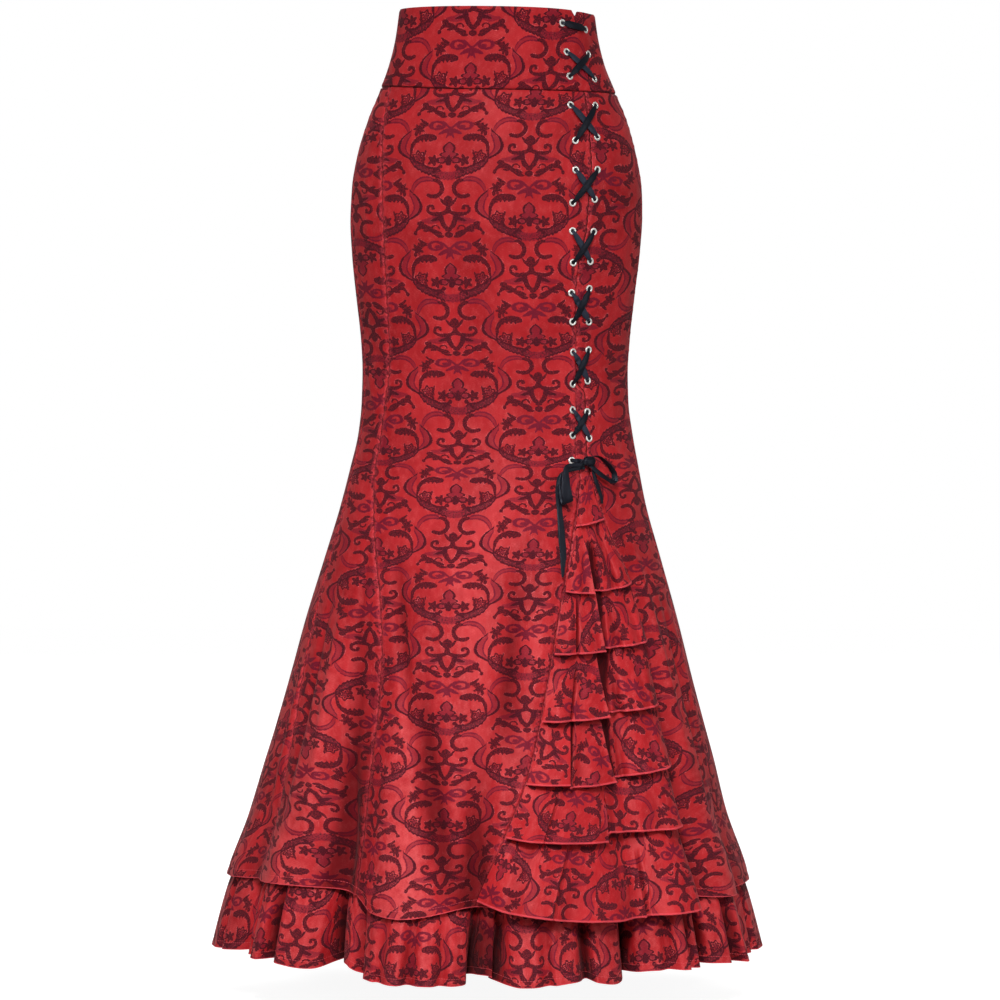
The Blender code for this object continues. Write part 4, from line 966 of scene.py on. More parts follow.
def pleats_at(angle):
    """How far the ruffle folds in at its bottom edge, how far each fold leans over, and the painted shade in its gap.
    """
    depth, lean, shade = (np.zeros_like(angle) for _ in range(3))
    for number, (centre, deep, reach) in enumerate(PLEATS):
        away = turned(angle - centre)
        fold = deep * (1.0 + np.cos(math.pi * ramp(np.abs(away) / reach) ** PLEAT_SHARP)) / 2
        gap = ramp((deep - PLEAT_GAP_LEAST) / PLEAT_GAP_RANGE) * hump(away, PLEAT_GAP_REACH, 4)
        depth = depth + fold + PLEAT_GAP_DEPTH * gap
        shade = np.maximum(shade, gap)
        lean = lean + fold * PLEAT_LEAN * (1.0 if number % 5 else -1.0) * np.where(turned(centre) > 0.0, 1.0, -1.0)
    for centre, reach, dark in RUFFLE_SHADES:
        shade = np.maximum(shade, dark * hump(turned(angle - centre), reach, 4))
    return depth, lean, shade


def ruffle_points(angle, drop):
    covered = edge_drop(HEM, angle)
    shown = np.clip((drop - covered) / (edge_drop(RUFFLE_HEM, angle) - covered), 0.0, 1.1)
    depth, lean, shade = pleats_at(angle)
    grown = RUFFLE_TOP_DEPTH_SHARE + (1.0 - RUFFLE_TOP_DEPTH_SHARE) * shown
    lift = RUFFLE_TOP_LIFT + RUFFLE_CREST * shown**0.8 - depth * grown
    points = skirt_surface(angle, drop, lift) + way_round(angle, drop)[0] * (lean * shown)[..., None]
    # The crests get a painted highlight, and the gaps between the pleats painted shade.
    ridge = RUFFLE_CREST_HIGHLIGHT * ramp(1.0 - depth / RUFFLE_RIDGE_DEEP)
    return points, np.stack([shade * np.clip(shown * 3.0, 0.25, 1.0), ridge], axis=-1)


def hem_ruffle(node, low, high, look):
    step = RUFFLE_STEP if low < 0.0 else 1.3 * RUFFLE_STEP
    angles = low + (high - low) * spread(math.radians(high - low) * RUFFLE_RADIUS, step)
    covered, bottom = edge_drop(HEM, angles), edge_drop(RUFFLE_HEM, angles)
    top = covered - RUFFLE_TUCK
    drop = top + (bottom - top) * spread(RUFFLE_LONG, 1.3 * step, FINE_STEPS)[:, None]
    points, shade = ruffle_points(np.broadcast_to(angles, drop.shape), drop)
    below = border_map(points)[..., :1]
    points = points + grid_normals(points) * stitch_lift(below, RUFFLE_STITCH_AT, RUFFLE_STITCH_REACH)
    return cloth_shell(node, points, hanging_place(points, *RUFFLE_CUT), look, fold=shade)


# ---- what lies on the cloth


class Front:
    """The front of the skirt around the lacing, as a fine grid that is read at any x and drop."""

    def __init__(self):
        self.drops = np.arange(-0.030, 0.612, FRONT_GRID_STEP)
        angle = np.arange(10.0, 80.0, 0.5)
        drop = self.drops[:, None]
        lap = np.where(
            angle < seam_angle(CENTRE_EDGE, drop),
            lap_lift("front_centre", angle, drop),
            lap_lift("front_right", angle, drop),
        )
        grid = skirt_surface(angle, drop, lap)
        self.x, self.y = grid[..., 0], grid[..., 1]

    def seat(self, x, drop):
        at = np.clip((drop - self.drops[0]) / FRONT_GRID_STEP, 0.0, len(self.drops) - 1.001)
        row = int(at)
        near = np.interp(x, self.x[row], self.y[row])
        far = np.interp(x, self.x[row + 1], self.y[row + 1])
        return np.array([x, near + (far - near) * (at - row), -drop])

    def outward(self, x, drop):
        near = 0.004
        across = self.seat(x + near, drop) - self.seat(x - near, drop)
        down = self.seat(x, drop + near) - self.seat(x, drop - near)
        return unit(np.cross(down, across))

    def over(self, x, drop, lift):
        return self.seat(x, drop) + self.outward(x, drop) * lift


def ring_quads(rings, around):
    """Quads of a tube of rings, each of so many points around."""
    a = np.arange(rings - 1)[:, None] * around + np.arange(around)
    b = np.arange(rings - 1)[:, None] * around + (np.arange(around) + 1) % around
    return np.stack([a, b, b + around, a + around], axis=-1).reshape(-1, 4)


def ribbon_part(front, rows, cup, shift=0.0):
    """Points, faces and flat places of a ribbon with a soft arch across it, a thin closed strip along its rows."""
    rows = np.asarray(rows)
    middle = np.array([front.over(x, drop, lift) for x, drop, lift, _, _ in rows])
    out = np.array([front.outward(x, drop) for x, drop, _, _, _ in rows])
    along = unit(np.gradient(middle, axis=0))
    side = unit(np.cross(out, along))
    face = np.cross(along, side)
    tip = np.radians(rows[:, 4:])
    side, face = side * np.cos(tip) + face * np.sin(tip), face * np.cos(tip) - side * np.sin(tip)
    across = np.linspace(-1.0, 1.0, RIBBON_COLUMNS)[None, :, None]
    width = rows[:, 3][:, None, None]
    top = middle[:, None] + side[:, None] * across * width / 2 + face[:, None] * cup * width * (1 - across**2)
    bottom = top - face[:, None] * RIBBON_THICK
    rings = np.concatenate([top, bottom[:, ::-1]], axis=1)
    around = 2 * RIBBON_COLUMNS
    faces = ring_quads(len(rows), around).tolist()
    faces += [list(range(around))[::-1], [(len(rows) - 1) * around + k for k in range(around)]]
    run = np.concatenate([[0.0], np.cumsum(np.linalg.norm(np.diff(middle, axis=0), axis=1))])
    there = across[..., 0] * rows[:, 3:4] / 2
    there = np.concatenate([there, there[:, ::-1]], axis=1) + shift
    place = np.stack([np.broadcast_to(run[:, None], there.shape), there], axis=-1)
    return rings.reshape(-1, 3), faces, place.reshape(-1, 2)


def satin_piece(node, parts, look):
    """One visible piece of the lace, joined from its ribbons."""
    points, faces, places = [], [], []
    for part_points, part_faces, part_place in parts:
        first = sum(map(len, points))
        faces += [[first + i for i in face] for face in part_faces]
        points.append(part_points)
        places.append(part_place)
    made = finished_mesh(f"{node}_satin", np.concatenate(points), faces, look, {"cloth": np.concatenate(places)})
    work = bmesh.new()
    work.from_mesh(made.data)
    bmesh.ops.recalc_face_normals(work, faces=work.faces)
    work.to_mesh(made.data)
    work.free()
    return dress(made, node)


def smooth_line(rows, steps):
    """A ribbon's rows with steps - 1 more between each two, on a smooth curve through them."""
    table = np.column_stack([np.arange(len(rows), dtype=float), np.array(rows)])
    at = np.linspace(0.0, len(rows) - 1.0, (len(rows) - 1) * steps + 1)
    return np.column_stack([curve_value(table, k, at) for k in range(1, table.shape[1])])


def strap(start, end, arch, wide):
    """The rows of one strap, which comes out of one eyelet's hole and goes into the other's."""
    t = np.linspace(0.0, 1.0, STRAP_STEPS + 1)
    length = math.hypot(end[0] - start[0], end[1] - start[1])
    rise = np.sin(math.pi * t)
    climb = ramp(np.minimum(t, 1.0 - t) * length / STRAP_CLIMB)
    lift = STRAP_SUNK + (STRAP_LIFT - STRAP_SUNK) * np.sin(climb * math.pi / 2) + arch * rise**1.5
    width = STRAP_END_WIDTH + (wide - STRAP_END_WIDTH) * np.minimum(1.0, 1.5 * rise) ** 1.3
    x, drop = (a + (b - a) * t for a, b in zip(start, end))
    return np.column_stack([x, drop, lift, width, np.zeros_like(t)])


def lacing(front, look):
    """The bar joins the first row of eyelets, and a cross each later pair of rows."""
    bar = strap(EYELETS[0][:2], EYELETS[0][2:], BAR_ARCH, STRAP_WIDTHS[0])
    satin_piece("lace_bar", [ribbon_part(front, bar, STRAP_CUP)], look)
    pairs = zip(EYELETS[1:14:2], EYELETS[2:15:2], STRAP_WIDTHS[1:], strict=True)
    for number, (upper, lower, wide) in enumerate(pairs, 1):
        under = strap(upper[:2], lower[2:], STRAP_ARCHES[0], wide)
        over = strap(upper[2:], lower[:2], STRAP_ARCHES[1], wide)
        parts = [ribbon_part(front, under, STRAP_CUP, UNDER_SHIFT), ribbon_part(front, over, STRAP_CUP)]
        satin_piece(f"lace_cross_{number}", parts, look)


def knot_part(front):
    """The wrapped knot of the bow: an egg shape with two furrows where the ribbon goes round it."""
    turns, rings = np.linspace(0.0, 2 * math.pi, 37)[:-1], np.linspace(0.0, math.pi, 19)
    ring, turn = np.meshgrid(rings, turns, indexing="ij")
    furrow = 1.0 - sum(deep * hump(np.cos(ring) - at, reach) for at, reach, deep in KNOT_FURROWS)
    furrow = furrow + KNOT_WAVE * np.sin(3 * turn + 1.1)
    wide, deep, high = KNOT["radii"]
    local = [
        wide * np.sin(ring) * np.cos(turn) * furrow,
        deep * np.sin(ring) * np.sin(turn) * furrow,
        high * np.cos(ring),
    ]
    out = front.outward(KNOT["x"], KNOT["drop"])
    side = unit(np.cross([0.0, 0.0, 1.0], out))
    axes = (side, out, np.cross(side, out))
    place = front.over(KNOT["x"], KNOT["drop"], KNOT["lift"])
    points = place + sum(part[..., None] * axis for part, axis in zip(local, axes))
    flat = np.stack([turn * 0.006, ring * 0.006], axis=-1)
    return points.reshape(-1, 3), ring_quads(len(rings), len(turns)).tolist(), flat.reshape(-1, 2)


def bow(front, look):
    ribbons = ((LEFT_LOOP, 0.07), (RIGHT_LOOP, 0.05), (LEAD, 0.06))
    parts = [ribbon_part(front, smooth_line(rows, 8), cup) for rows, cup in ribbons]
    satin_piece("lace_bow", [knot_part(front), *parts], look)


def tail(front, node, rows, look):
    """A free end of the lace, and the line that it follows."""
    line = smooth_line(rows, 6)
    made = satin_piece(node, [ribbon_part(front, line, 0.06)], look)
    return made, [tuple(map(float, front.over(x, drop, lift))) for x, drop, lift, _, _ in line]


def eyelet_mesh(metal, hole):
    """A rolled metal ring over a dark disc, which stands for the painted shade inside the hole."""
    around, profile = 40, 14
    turn, wall = (np.arange(count) / count * 2 * math.pi for count in (around, profile))
    radius = RING_RADIUS + RING_WALL * np.cos(wall) * (1.0 + 0.12 * np.sin(wall))
    height = np.broadcast_to(RING_RISE + RING_WALL * RING_FLATTEN * np.sin(wall), (around, profile))
    ring = np.stack([np.cos(turn)[:, None] * radius, np.sin(turn)[:, None] * radius, height], axis=-1).reshape(-1, 3)
    a, b = (((np.arange(around)[:, None] + step) % around) * profile for step in (0, 1))
    k, after = np.arange(profile), (np.arange(profile) + 1) % profile
    faces = np.stack([a + k, b + k, b + after, a + after], axis=-1).reshape(-1, 4).tolist()
    disc = np.stack([np.cos(turn) * RING_RADIUS, np.sin(turn) * RING_RADIUS, np.full(around, HOLE_RISE)], axis=-1)
    upper = len(ring) + np.arange(around)
    lower = upper + around
    faces += [upper.tolist(), lower[::-1].tolist()]
    faces += np.stack([upper, lower, np.roll(lower, -1), np.roll(upper, -1)], axis=-1).tolist()
    mesh = bpy.data.meshes.new("eyelet")
    mesh.from_pydata(np.concatenate([ring, disc, disc - [0.0, 0.0, HOLE_THICK]]).tolist(), [], faces)
    mesh.materials.append(metal)
    mesh.materials.append(hole)
    mesh.polygons.foreach_set("material_index", [0] * (around * profile) + [1] * (around + 2))
    mesh.shade_smooth()
    mesh.set_sharp_from_angle(angle=math.radians(50))
    return mesh


def eyelets(front, metal, hole):
    mesh = eyelet_mesh(metal, hole)
    for row, places in enumerate(EYELETS, start=1):
        for side, x, drop in (("left", *places[:2]), ("right", *places[2:])):
            node = f"eyelet_{side}_{row:02d}"
            ring = linked(f"{node}_ring", mesh)
            turn = Vector(front.outward(x, drop)).to_track_quat("Z", "Y").to_matrix().to_4x4()
            ring.matrix_world = Matrix.Translation(front.seat(x, drop)) @ turn
            dress(ring, node)


# ---- materials


class Term:
    """A number inside a material's node tree. Python's operators on terms add the nodes that work them out."""

    def __init__(self, tree, socket):
        self.tree, self.socket = tree, socket

    def math(self, operation, *others, clamp=False):
        node = self.tree.nodes.new("ShaderNodeMath")
        node.operation = operation
        node.use_clamp = clamp
        for slot, value in zip(node.inputs, (self, *others)):
            if isinstance(value, Term):
                self.tree.links.new(value.socket, slot)
            else:
                slot.default_value = value
        return Term(self.tree, node.outputs[0])

    def __add__(self, other):
        return self.math("ADD", other)

    def __sub__(self, other):
        return self.math("SUBTRACT", other)

    def __rsub__(self, other):
        return self.math("MULTIPLY_ADD", -1.0, other)

    def __mul__(self, other):
        return self.math("MULTIPLY", other)

    def __abs__(self):
        return self.math("ABSOLUTE")

    def smaller(self, other):
        return self.math("MINIMUM", other)

    def larger(self, other):
        return self.math("MAXIMUM", other)

    def clamped(self, times=1.0):
        """The term times a number, kept between 0 and 1."""
        return self.math("MULTIPLY", times, clamp=True)

    def share(self, softness):
        """1 where the term is above zero and 0 where it is below, with a soft step of that width."""
        return self.math("MULTIPLY_ADD", 1.0 / softness, 0.5, clamp=True)

    def along(self, points):
        """The value that a smooth curve through the points gives for this term."""
        node = self.tree.nodes.new("ShaderNodeFloatCurve")
        mapping = node.mapping
        mapping.use_clip = False
        mapping.extend = "HORIZONTAL"
        curve = mapping.curves[0]
        curve.points[0].location = points[0]
        curve.points[1].location = points[-1]
        for point in points[1:-1]:
            curve.points.new(*point)
        for point in curve.points:
            point.handle_type = "AUTO_CLAMPED"
        mapping.update()
        self.tree.links.new(self.socket, node.inputs["Value"])
        return Term(self.tree, node.outputs[0])


def most(terms):
    return functools.reduce(Term.larger, terms)


# The damask's motifs, in mm from the middle of a spade and down. The pattern is mirrored about each column of
# motifs, so x is never below 0. An outline is (y, half width) points.
SPADE = (
    (-7.4, -1), (-6.4, 0), (-4.6, 2.7), (-2, 5.2), (0.6, 6.5), (2.8, 6.3), (4.8, 5.5), (6.2, 8.3), (7.8, 9.9),
    (9.4, 8), (10.6, 4.2), (11.8, 2.8), (17.6, 2.6), (18.8, 0.2), (19.8, -1),
)
GARLAND_OUTER = (
    (0, 34.6), (6, 34.1), (11, 33), (15, 31.2), (19, 29.4), (24, 27.8), (30, 25.3), (35.5, 22), (40.2, 17.2),
    (43.2, 11.5),
)
GARLAND_INNER = (
    (0, 26.6), (6, 26), (9, 23.6), (12, 21.8), (16, 21.6), (20, 21.2), (24, 19.4), (28, 17.2), (33, 15.4),
    (38.5, 11.4), (42, 8.4),
)
GARLAND_BARE = ((0, 0.6), (8, 0.58), (12, 0.44), (24, 0.4), (34, 0.42), (42, 0.48))
STAR = ((-23.8, -1), (-22.6, 0.9), (-20, 2.9), (-17.4, 3.5), (-15, 2.7), (-13, 0.8), (-12, -1))
ARM_EDGE = ((43, 46), (46.7, 45.3), (50, 43.3), (55, 40.4), (60, 38.7), (64, 38.2), (68, 39.4), (72, 42.5), (76, 47))
# The dark shapes: in the spade, below the scroll and over the acanthus.
DARK_SHAPES = (
    ((7.4, -1), (8.8, 0.8), (11, 2), (13.5, 2.9), (16, 3), (18.6, 2.2), (20, -1)),
    (
        (50.6, -1), (51.6, 1.2), (53.4, 3.6), (56, 4.6), (58.4, 3.5), (60.4, 2.5), (63, 2.2), (66, 3), (68.6, 4.4),
        (70.4, -1),
    ),
    ((89, -1), (89.9, 1.7), (91.2, 3.9), (93.2, 4.1), (95, 2.6), (96.4, -1)),
)
COMMA_RADIUS = ((-132, 17.4), (-118, 16), (-94, 15), (-63, 15), (-34, 14.6), (-4, 14.5), (22, 16.2))
COMMA_WIDTH = (
    (-139, -1.5), (-136, 0.8), (-128, 2.6), (-112, 3.5), (-92, 3.1), (-70, 2.6), (-46, 2.1), (-16, 1.7), (8, 1.5),
    (20, 1), (25, -1.5),
)
COMMA_LOBES = (
    (-130, 0.6), (-120, 1.6), (-108, -0.3), (-96, 2.4), (-84, -0.2), (-73, 2.6), (-62, 0), (-53, 1.4), (-44, 0),
)
# Lines round a centre: the centre, and the radius and the half width at each turn in degrees.
SCROLL = (
    (15.0, 43.5),
    ((-98, 8.6), (60, 8.5), (110, 8.8), (138, 9.8)),
    (
        (-104, -1.5), (-98, 0.9), (-80, 1.6), (-40, 2), (10, 2.1), (60, 2), (110, 1.9), (132, 1.8), (141, 1),
        (147, -1.5),
    ),
)
CURL = (
    (18.5, 65.6),
    ((-180, 3.9), (180, 3.9)),
    ((-150, -1.5), (-140, 1), (-90, 1.2), (0, 1.4), (80, 1.3), (104, -1.5)),
)
# Strokes: the points of the middle, and the half width at each x.
ARM_TOP = (
    ((16, 34.8), (22, 33.4), (27.7, 33.9), (33, 36.4), (37, 40.6), (39.6, 45.4), (40.6, 49)),
    ((14, -1), (17, 1.7), (24, 2.4), (33, 3), (38, 4), (40.4, 4.6), (41, -1)),
)
WING_LINE = ((6, 73.6), (14, 76.2), (22, 77.8), (30, 77.2))
WING = (
    WING_LINE,
    ((4, -1), (7, 3.2), (14, 3.9), (22, 2.6), (29, 0.6), (31, -1)),
)
SPRAY_WIDTH = ((23, -1), (25.6, 0.7), (29.6, 1.6), (33.2, 1), (35.2, -1))
DARK_STROKES = {
    "garland_end": (
        ((6.6, 20.6), (9, 20.4), (11.5, 22.4), (14, 24.6), (17, 26.2)),
        ((5.8, -1), (7.2, 1.5), (9.2, 2.2), (12, 1.6), (16, 1.8), (18, -1)),
    ),
    "fleur_leaf": (
        ((2, 61), (6, 57.6), (9.8, 53.2)),
        ((1.4, -1), (3, 1.6), (6.5, 2), (9, 1), (10.4, -1)),
    ),
    "bar": (
        ((0, 67.6), (6, 69.9), (14, 70.7), (20, 69.4), (22.5, 67)),
        ((0, 2), (14, 1.8), (20, 1.6), (22, 0.9), (23.6, -1.5)),
    ),
    "lyre_leaf": (
        ((7, 91.6), (12, 89.8), (18, 87.6)),
        ((6.2, -1), (8, 1), (12, 1.6), (16, 1.1), (18.8, -1)),
    ),
    "wing_core": (
        WING_LINE,
        ((5, -1), (7, 2.1), (11, 1.9), (18, 0.7), (21, -1)),
    ),
    "acanthus": (
        ((5, 94.6), (10, 94), (14, 91.4), (19, 87.5), (24, 84.8), (29, 84), (33, 85.5), (36.8, 90.4)),
        (
            (4, -1), (6, 0.8), (10, 1.7), (14, 2.3), (19, 2.6), (24, 2.6), (29, 2.4), (33, 2.2), (36.4, 1.5),
            (37.8, -1),
        ),
    ),
    "upper_spray": (((23.6, -26.8), (29, -28.2), (34, -31.8)), SPRAY_WIDTH),
    "lower_spray": (((25.6, -25.4), (30, -25.4), (34.6, -27.4)), SPRAY_WIDTH),
}
HALF_STROKES = {
    "loop_stem": (
        ((1, -21.6), (5, -25.4), (9, -28.6)),
        ((0.2, -1), (1.6, 1.4), (8, 1.2), (10, -1)),
    ),
    "star_leaf": (
        ((1, -19.8), (6, -18), (12.6, -15)),
        ((0.6, -1), (2, 1.4), (6, 2.1), (10, 1.4), (12.6, 0.1), (13.4, -1)),
    ),
    "star_foot": (
        ((0.8, -16), (4.6, -10.8)),
        ((0.2, -1), (1.4, 1.9), (3.6, 1.5), (4.9, -1)),
    ),
}
# Strokes that run down: (y, x) points of the middle, and the half width at each y.
ARM_OUTER = (
    (43, 43.4), (46.7, 41), (49.5, 37.6), (51.8, 34.9), (56.6, 31.6), (63.2, 29.9), (68.1, 31.5), (73.1, 37.2),
    (76.4, 43.2), (78, 45),
)
DARK_STROKES_DOWN = {
    "rosette": (
        ((3, 25.6), (6, 26), (10, 27.4), (14, 28), (19, 27.2)),
        ((2.2, -1), (3.6, 0.5), (8, 0.8), (14, 1.1), (19, 1.6), (20.6, -1)),
    ),
    "arm": (
        ARM_OUTER,
        ((43, -1), (46, 0.3), (52, 0.9), (60, 1.3), (66, 1.6), (74, 2), (77, 1.6), (79, -1)),
    ),
    "lyre": (
        ((69, 9), (72, 8.4), (76, 7.5), (80, 6.1), (84, 3.9), (87, 0.6)),
        ((69.5, -1), (71, 2), (76, 2.6), (82, 2.7), (85.5, 3), (88.4, 2.4), (89.6, -1.5)),
    ),
}
# Ovals: the centre, half the width and half the height.
DARK_OVALS = (
    ((16.4, 64.2), 1.7, 1.4), ((30.4, 80.8), 3.4, 2.5), ((24.6, 88.4), 2.8, 1.2), ((36.6, 90.8), 1.8, 2.0),
)


def line_part(at, beside, line, width):
    """How far inside a drawn line a place is: at is the coordinate that the line is keyed on."""
    return at.along(width) - abs(beside - at.along(line))


def from_centre(x, y, centre, flip=1.0):
    """Radius and degrees of a place about a motif's centre. With flip -1, the degrees start at the side of lower x."""
    dx, dy = x - centre[0], y - centre[1]
    radius = (dx * dx + dy * dy).math("SQRT")
    return radius, dy.math("ARCTAN2", dx * flip) * (180.0 / math.pi)


def round_line(x, y, centre, radius, width, flip=1.0):
    """How far inside a line drawn round a centre a place is: its radius and its half width are keyed on degrees."""
    away, turn = from_centre(x, y, centre, flip)
    return turn.along(width) - abs(away - turn.along(radius))


def petals(x, y, centre, size, depth, count, turn=0.0):
    """How far inside a flower of so many petals a place is."""
    radius, degrees = from_centre(x, y, centre)
    wave = ((degrees + turn) * math.radians(count)).math("COSINE")
    return wave * depth + size - radius


def oval(x, y, centre, half_width, half_height):
    """How far inside an oval a place is, measured along its height."""
    dx, dy = (x - centre[0]) * (half_height / half_width), y - centre[1]
    return half_height - (dx * dx + dy * dy).math("SQRT")


def outline(inside, half_width, at=0.5):
    """How far inside the drawn edge of a shape a place is."""
    return half_width - abs(inside - at)


def comma_part(x, y):
    """The curled leaf beside a spade, with lobes along the hollow of its curl."""
    radius, turn = from_centre(x, y, (27.0, 3.0))
    off = turn.along(COMMA_RADIUS) - radius
    return turn.along(COMMA_WIDTH) - (off - turn.along(COMMA_LOBES)).larger(off * -1.0)


def carnation_part(x, y):
    """A flower head of seven pointed petals with slits between them."""
    centre = (34.6, -20.8)
    radius, degrees = from_centre(x, y, centre)
    slit = abs((degrees * math.radians(3.5)).math("SINE")) * radius - 0.55
    head = petals(x, y, centre, 5.2, 1.6, 7, 0.0).smaller(slit.larger(3.4 - radius))
    return head.larger(oval(x, y, (37.4, -15.6), 1.8, 2.6))


def garland_part(x, y):
    """The band under a spade, with small scallops along its lower edge."""
    scallops = (x * 1.5).math("COSINE") * 0.5
    return (x.along(GARLAND_OUTER) + scallops - y).smaller(y - x.along(GARLAND_INNER)).smaller(43.0 - x)


def arm_part(x, y):
    """The curved arm that rises from a garland's end into the scroll of the next column, where both columns show it."""
    return (x - y.along(ARM_OUTER)).smaller(y.along(ARM_EDGE) - x).smaller(78.0 - y).smaller(y - 43.0)


def damask(x, y, speckle):
    """How far inside the damask's dark lines, its speckles and its four lighter tones a place is, in mm."""
    spade, garland = y.along(SPADE) - x, garland_part(x, y)
    side_leaf = oval(x, y, (7.8, 13.8), 5.2, 3.4)
    rosette = petals(x, y, (32.8, 10.2), 6.1, 1.1, 6, 18.0)
    loop = oval(x, y, (14.8, -24.6), 8.7, 5.0)
    arc = oval(x, y, (14.0, 86.0), 4.4, 3.8)
    arm = arm_part(x, y).larger(line_part(x, y, *ARM_TOP))
    dark = most([
        outline(spade, 0.95, 0.75),
        outline(side_leaf, 0.5),
        petals(x, y, (16.6, 14.0), 4.9, 1.4, 5, 36.0),
        outline(rosette, 0.85),
        outline(rosette, 0.7, 3.5),
        outline(garland, 0.9, 0.7).smaller(x - 8.5),
        outline(arc, 0.6).smaller(86.4 - y),
        comma_part(x, y),
        carnation_part(x, y),
        round_line(x, y, *SCROLL, flip=-1.0),
        round_line(x, y, *CURL),
        *(y.along(shape) - x for shape in DARK_SHAPES),
        *(oval(x, y, *sizes) for sizes in DARK_OVALS),
        *(line_part(x, y, *stroke) for stroke in DARK_STROKES.values()),
        *(line_part(y, x, *stroke) for stroke in DARK_STROKES_DOWN.values()),
    ])
    speckles = (garland - 0.4).smaller((speckle - x.along(GARLAND_BARE)) * 9.0)
    half = most([
        outline(arm, 0.6),
        outline(loop, 0.95, 0.8),
        loop.smaller(x - 19.6),
        oval(x, y, (12.4, -23.4), 3.2, 1.5),
        y.along(STAR) - x,
        *(line_part(x, y, *stroke) for stroke in HALF_STROKES.values()),
    ])
    fill = most([spade, side_leaf, rosette - 3.0, line_part(x, y, *WING)])
    return dark, speckles, half, fill, garland, arm


def damask_group():
    """The repeat as a node group: from a place on the flat cloth, in mm, to the share of each tone there."""
    tree = bpy.data.node_groups.new("damask_repeat", "ShaderNodeTree")
    for way, names in (("INPUT", PATTERN_INPUTS), ("OUTPUT", PATTERN_TONES)):
        for name in names:
            tree.interface.new_socket(name=name, in_out=way, socket_type="NodeSocketFloat")
    start, result = tree.nodes.new("NodeGroupInput"), tree.nodes.new("NodeGroupOutput")
    across, down, wobble, speckle = (Term(tree, start.outputs[name]) for name in PATTERN_INPUTS)
    column = (across * (1.0 / COLUMN_PITCH) + 0.5).math("FLOOR")
    x = abs(across - column * COLUMN_PITCH)
    odd = (column * 0.5).math("FRACT") * 2.0
    y = (down + odd * (REPEAT_HEIGHT / 2) - REPEAT_TOP).math("FLOORED_MODULO", REPEAT_HEIGHT) + REPEAT_TOP
    dark, speckles, half, fill, band, arm = damask(x, y, speckle)
    near = (dark + 0.8).share(0.2)
    dark = dark + wobble
    tones = [(half, HALF_SHARE), (fill, FILL_SHARE), (band, BAND_SHARE), (arm, ARM_SHARE)]
    tone = most([(term + wobble).share(EDGE_SOFTNESS) * strength for term, strength in tones])
    rim = (RIM_WIDTH - abs(dark + RIM_AWAY)).share(EDGE_SOFTNESS) * near * (1.0 - tone)
    shares = (dark.share(EDGE_SOFTNESS), speckles.share(EDGE_SOFTNESS), tone, rim)
    for name, term in zip(PATTERN_TONES, shares):
        tree.links.new(term.socket, result.inputs[name])
    return tree


def new_material(name):
    made = bpy.data.materials.new(name)
    made.use_nodes = True
    return made, made.node_tree, made.node_tree.nodes["Principled BSDF"]


def map_terms(tree, name):
    """The two numbers of a UV map."""
    node = tree.nodes.new("ShaderNodeUVMap")
    node.uv_map = name
    split = tree.nodes.new("ShaderNodeSeparateXYZ")
    tree.links.new(node.outputs["UV"], split.inputs[0])
    return Term(tree, split.outputs["X"]), Term(tree, split.outputs["Y"])


def noise(tree, x, y, x_scale, y_scale, detail=2.0):
    """Noise from 0 to 1 over two coordinates, each with its own scale."""
    place = tree.nodes.new("ShaderNodeCombineXYZ")
    tree.links.new((x * x_scale).socket, place.inputs["X"])
    tree.links.new((y * y_scale).socket, place.inputs["Y"])
    node = tree.nodes.new("ShaderNodeTexNoise")
    node.noise_dimensions = "2D"
    node.inputs["Scale"].default_value = 1.0
    node.inputs["Detail"].default_value = detail
    tree.links.new(place.outputs[0], node.inputs["Vector"])
    return Term(tree, node.outputs["Fac"])


def mixed(tree, share, first, second):
    """A colour between two, each a socket or a plain colour."""
    node = tree.nodes.new("ShaderNodeMix")
    node.data_type = "RGBA"
    tree.links.new(share.socket, node.inputs["Factor"])
    for slot, colour in ((node.inputs[6], first), (node.inputs[7], second)):
        if isinstance(colour, tuple):
            slot.default_value = colour
        else:
            tree.links.new(colour, slot)
    return node.outputs[2]


def object_noise(tree, scale):
    place = tree.nodes.new("ShaderNodeTexCoord")
    grain = tree.nodes.new("ShaderNodeTexNoise")
    grain.inputs["Scale"].default_value = scale
    tree.links.new(place.outputs["Object"], grain.inputs["Vector"])
    return Term(tree, grain.outputs["Fac"])


def finish_look(tree, shader, colour, rough, relief, values):
    """Links a cloth's colour, roughness and relief, in mm, and sets its plain values."""
    tree.links.new(colour, shader.inputs["Base Color"])
    tree.links.new(rough.socket, shader.inputs["Roughness"])
    for name, value in values.items():
        shader.inputs[name].default_value = value
    bump = tree.nodes.new("ShaderNodeBump")
    bump.inputs["Distance"].default_value = 0.001
    tree.links.new(relief.socket, bump.inputs["Height"])
    tree.links.new(bump.outputs["Normal"], shader.inputs["Normal"])


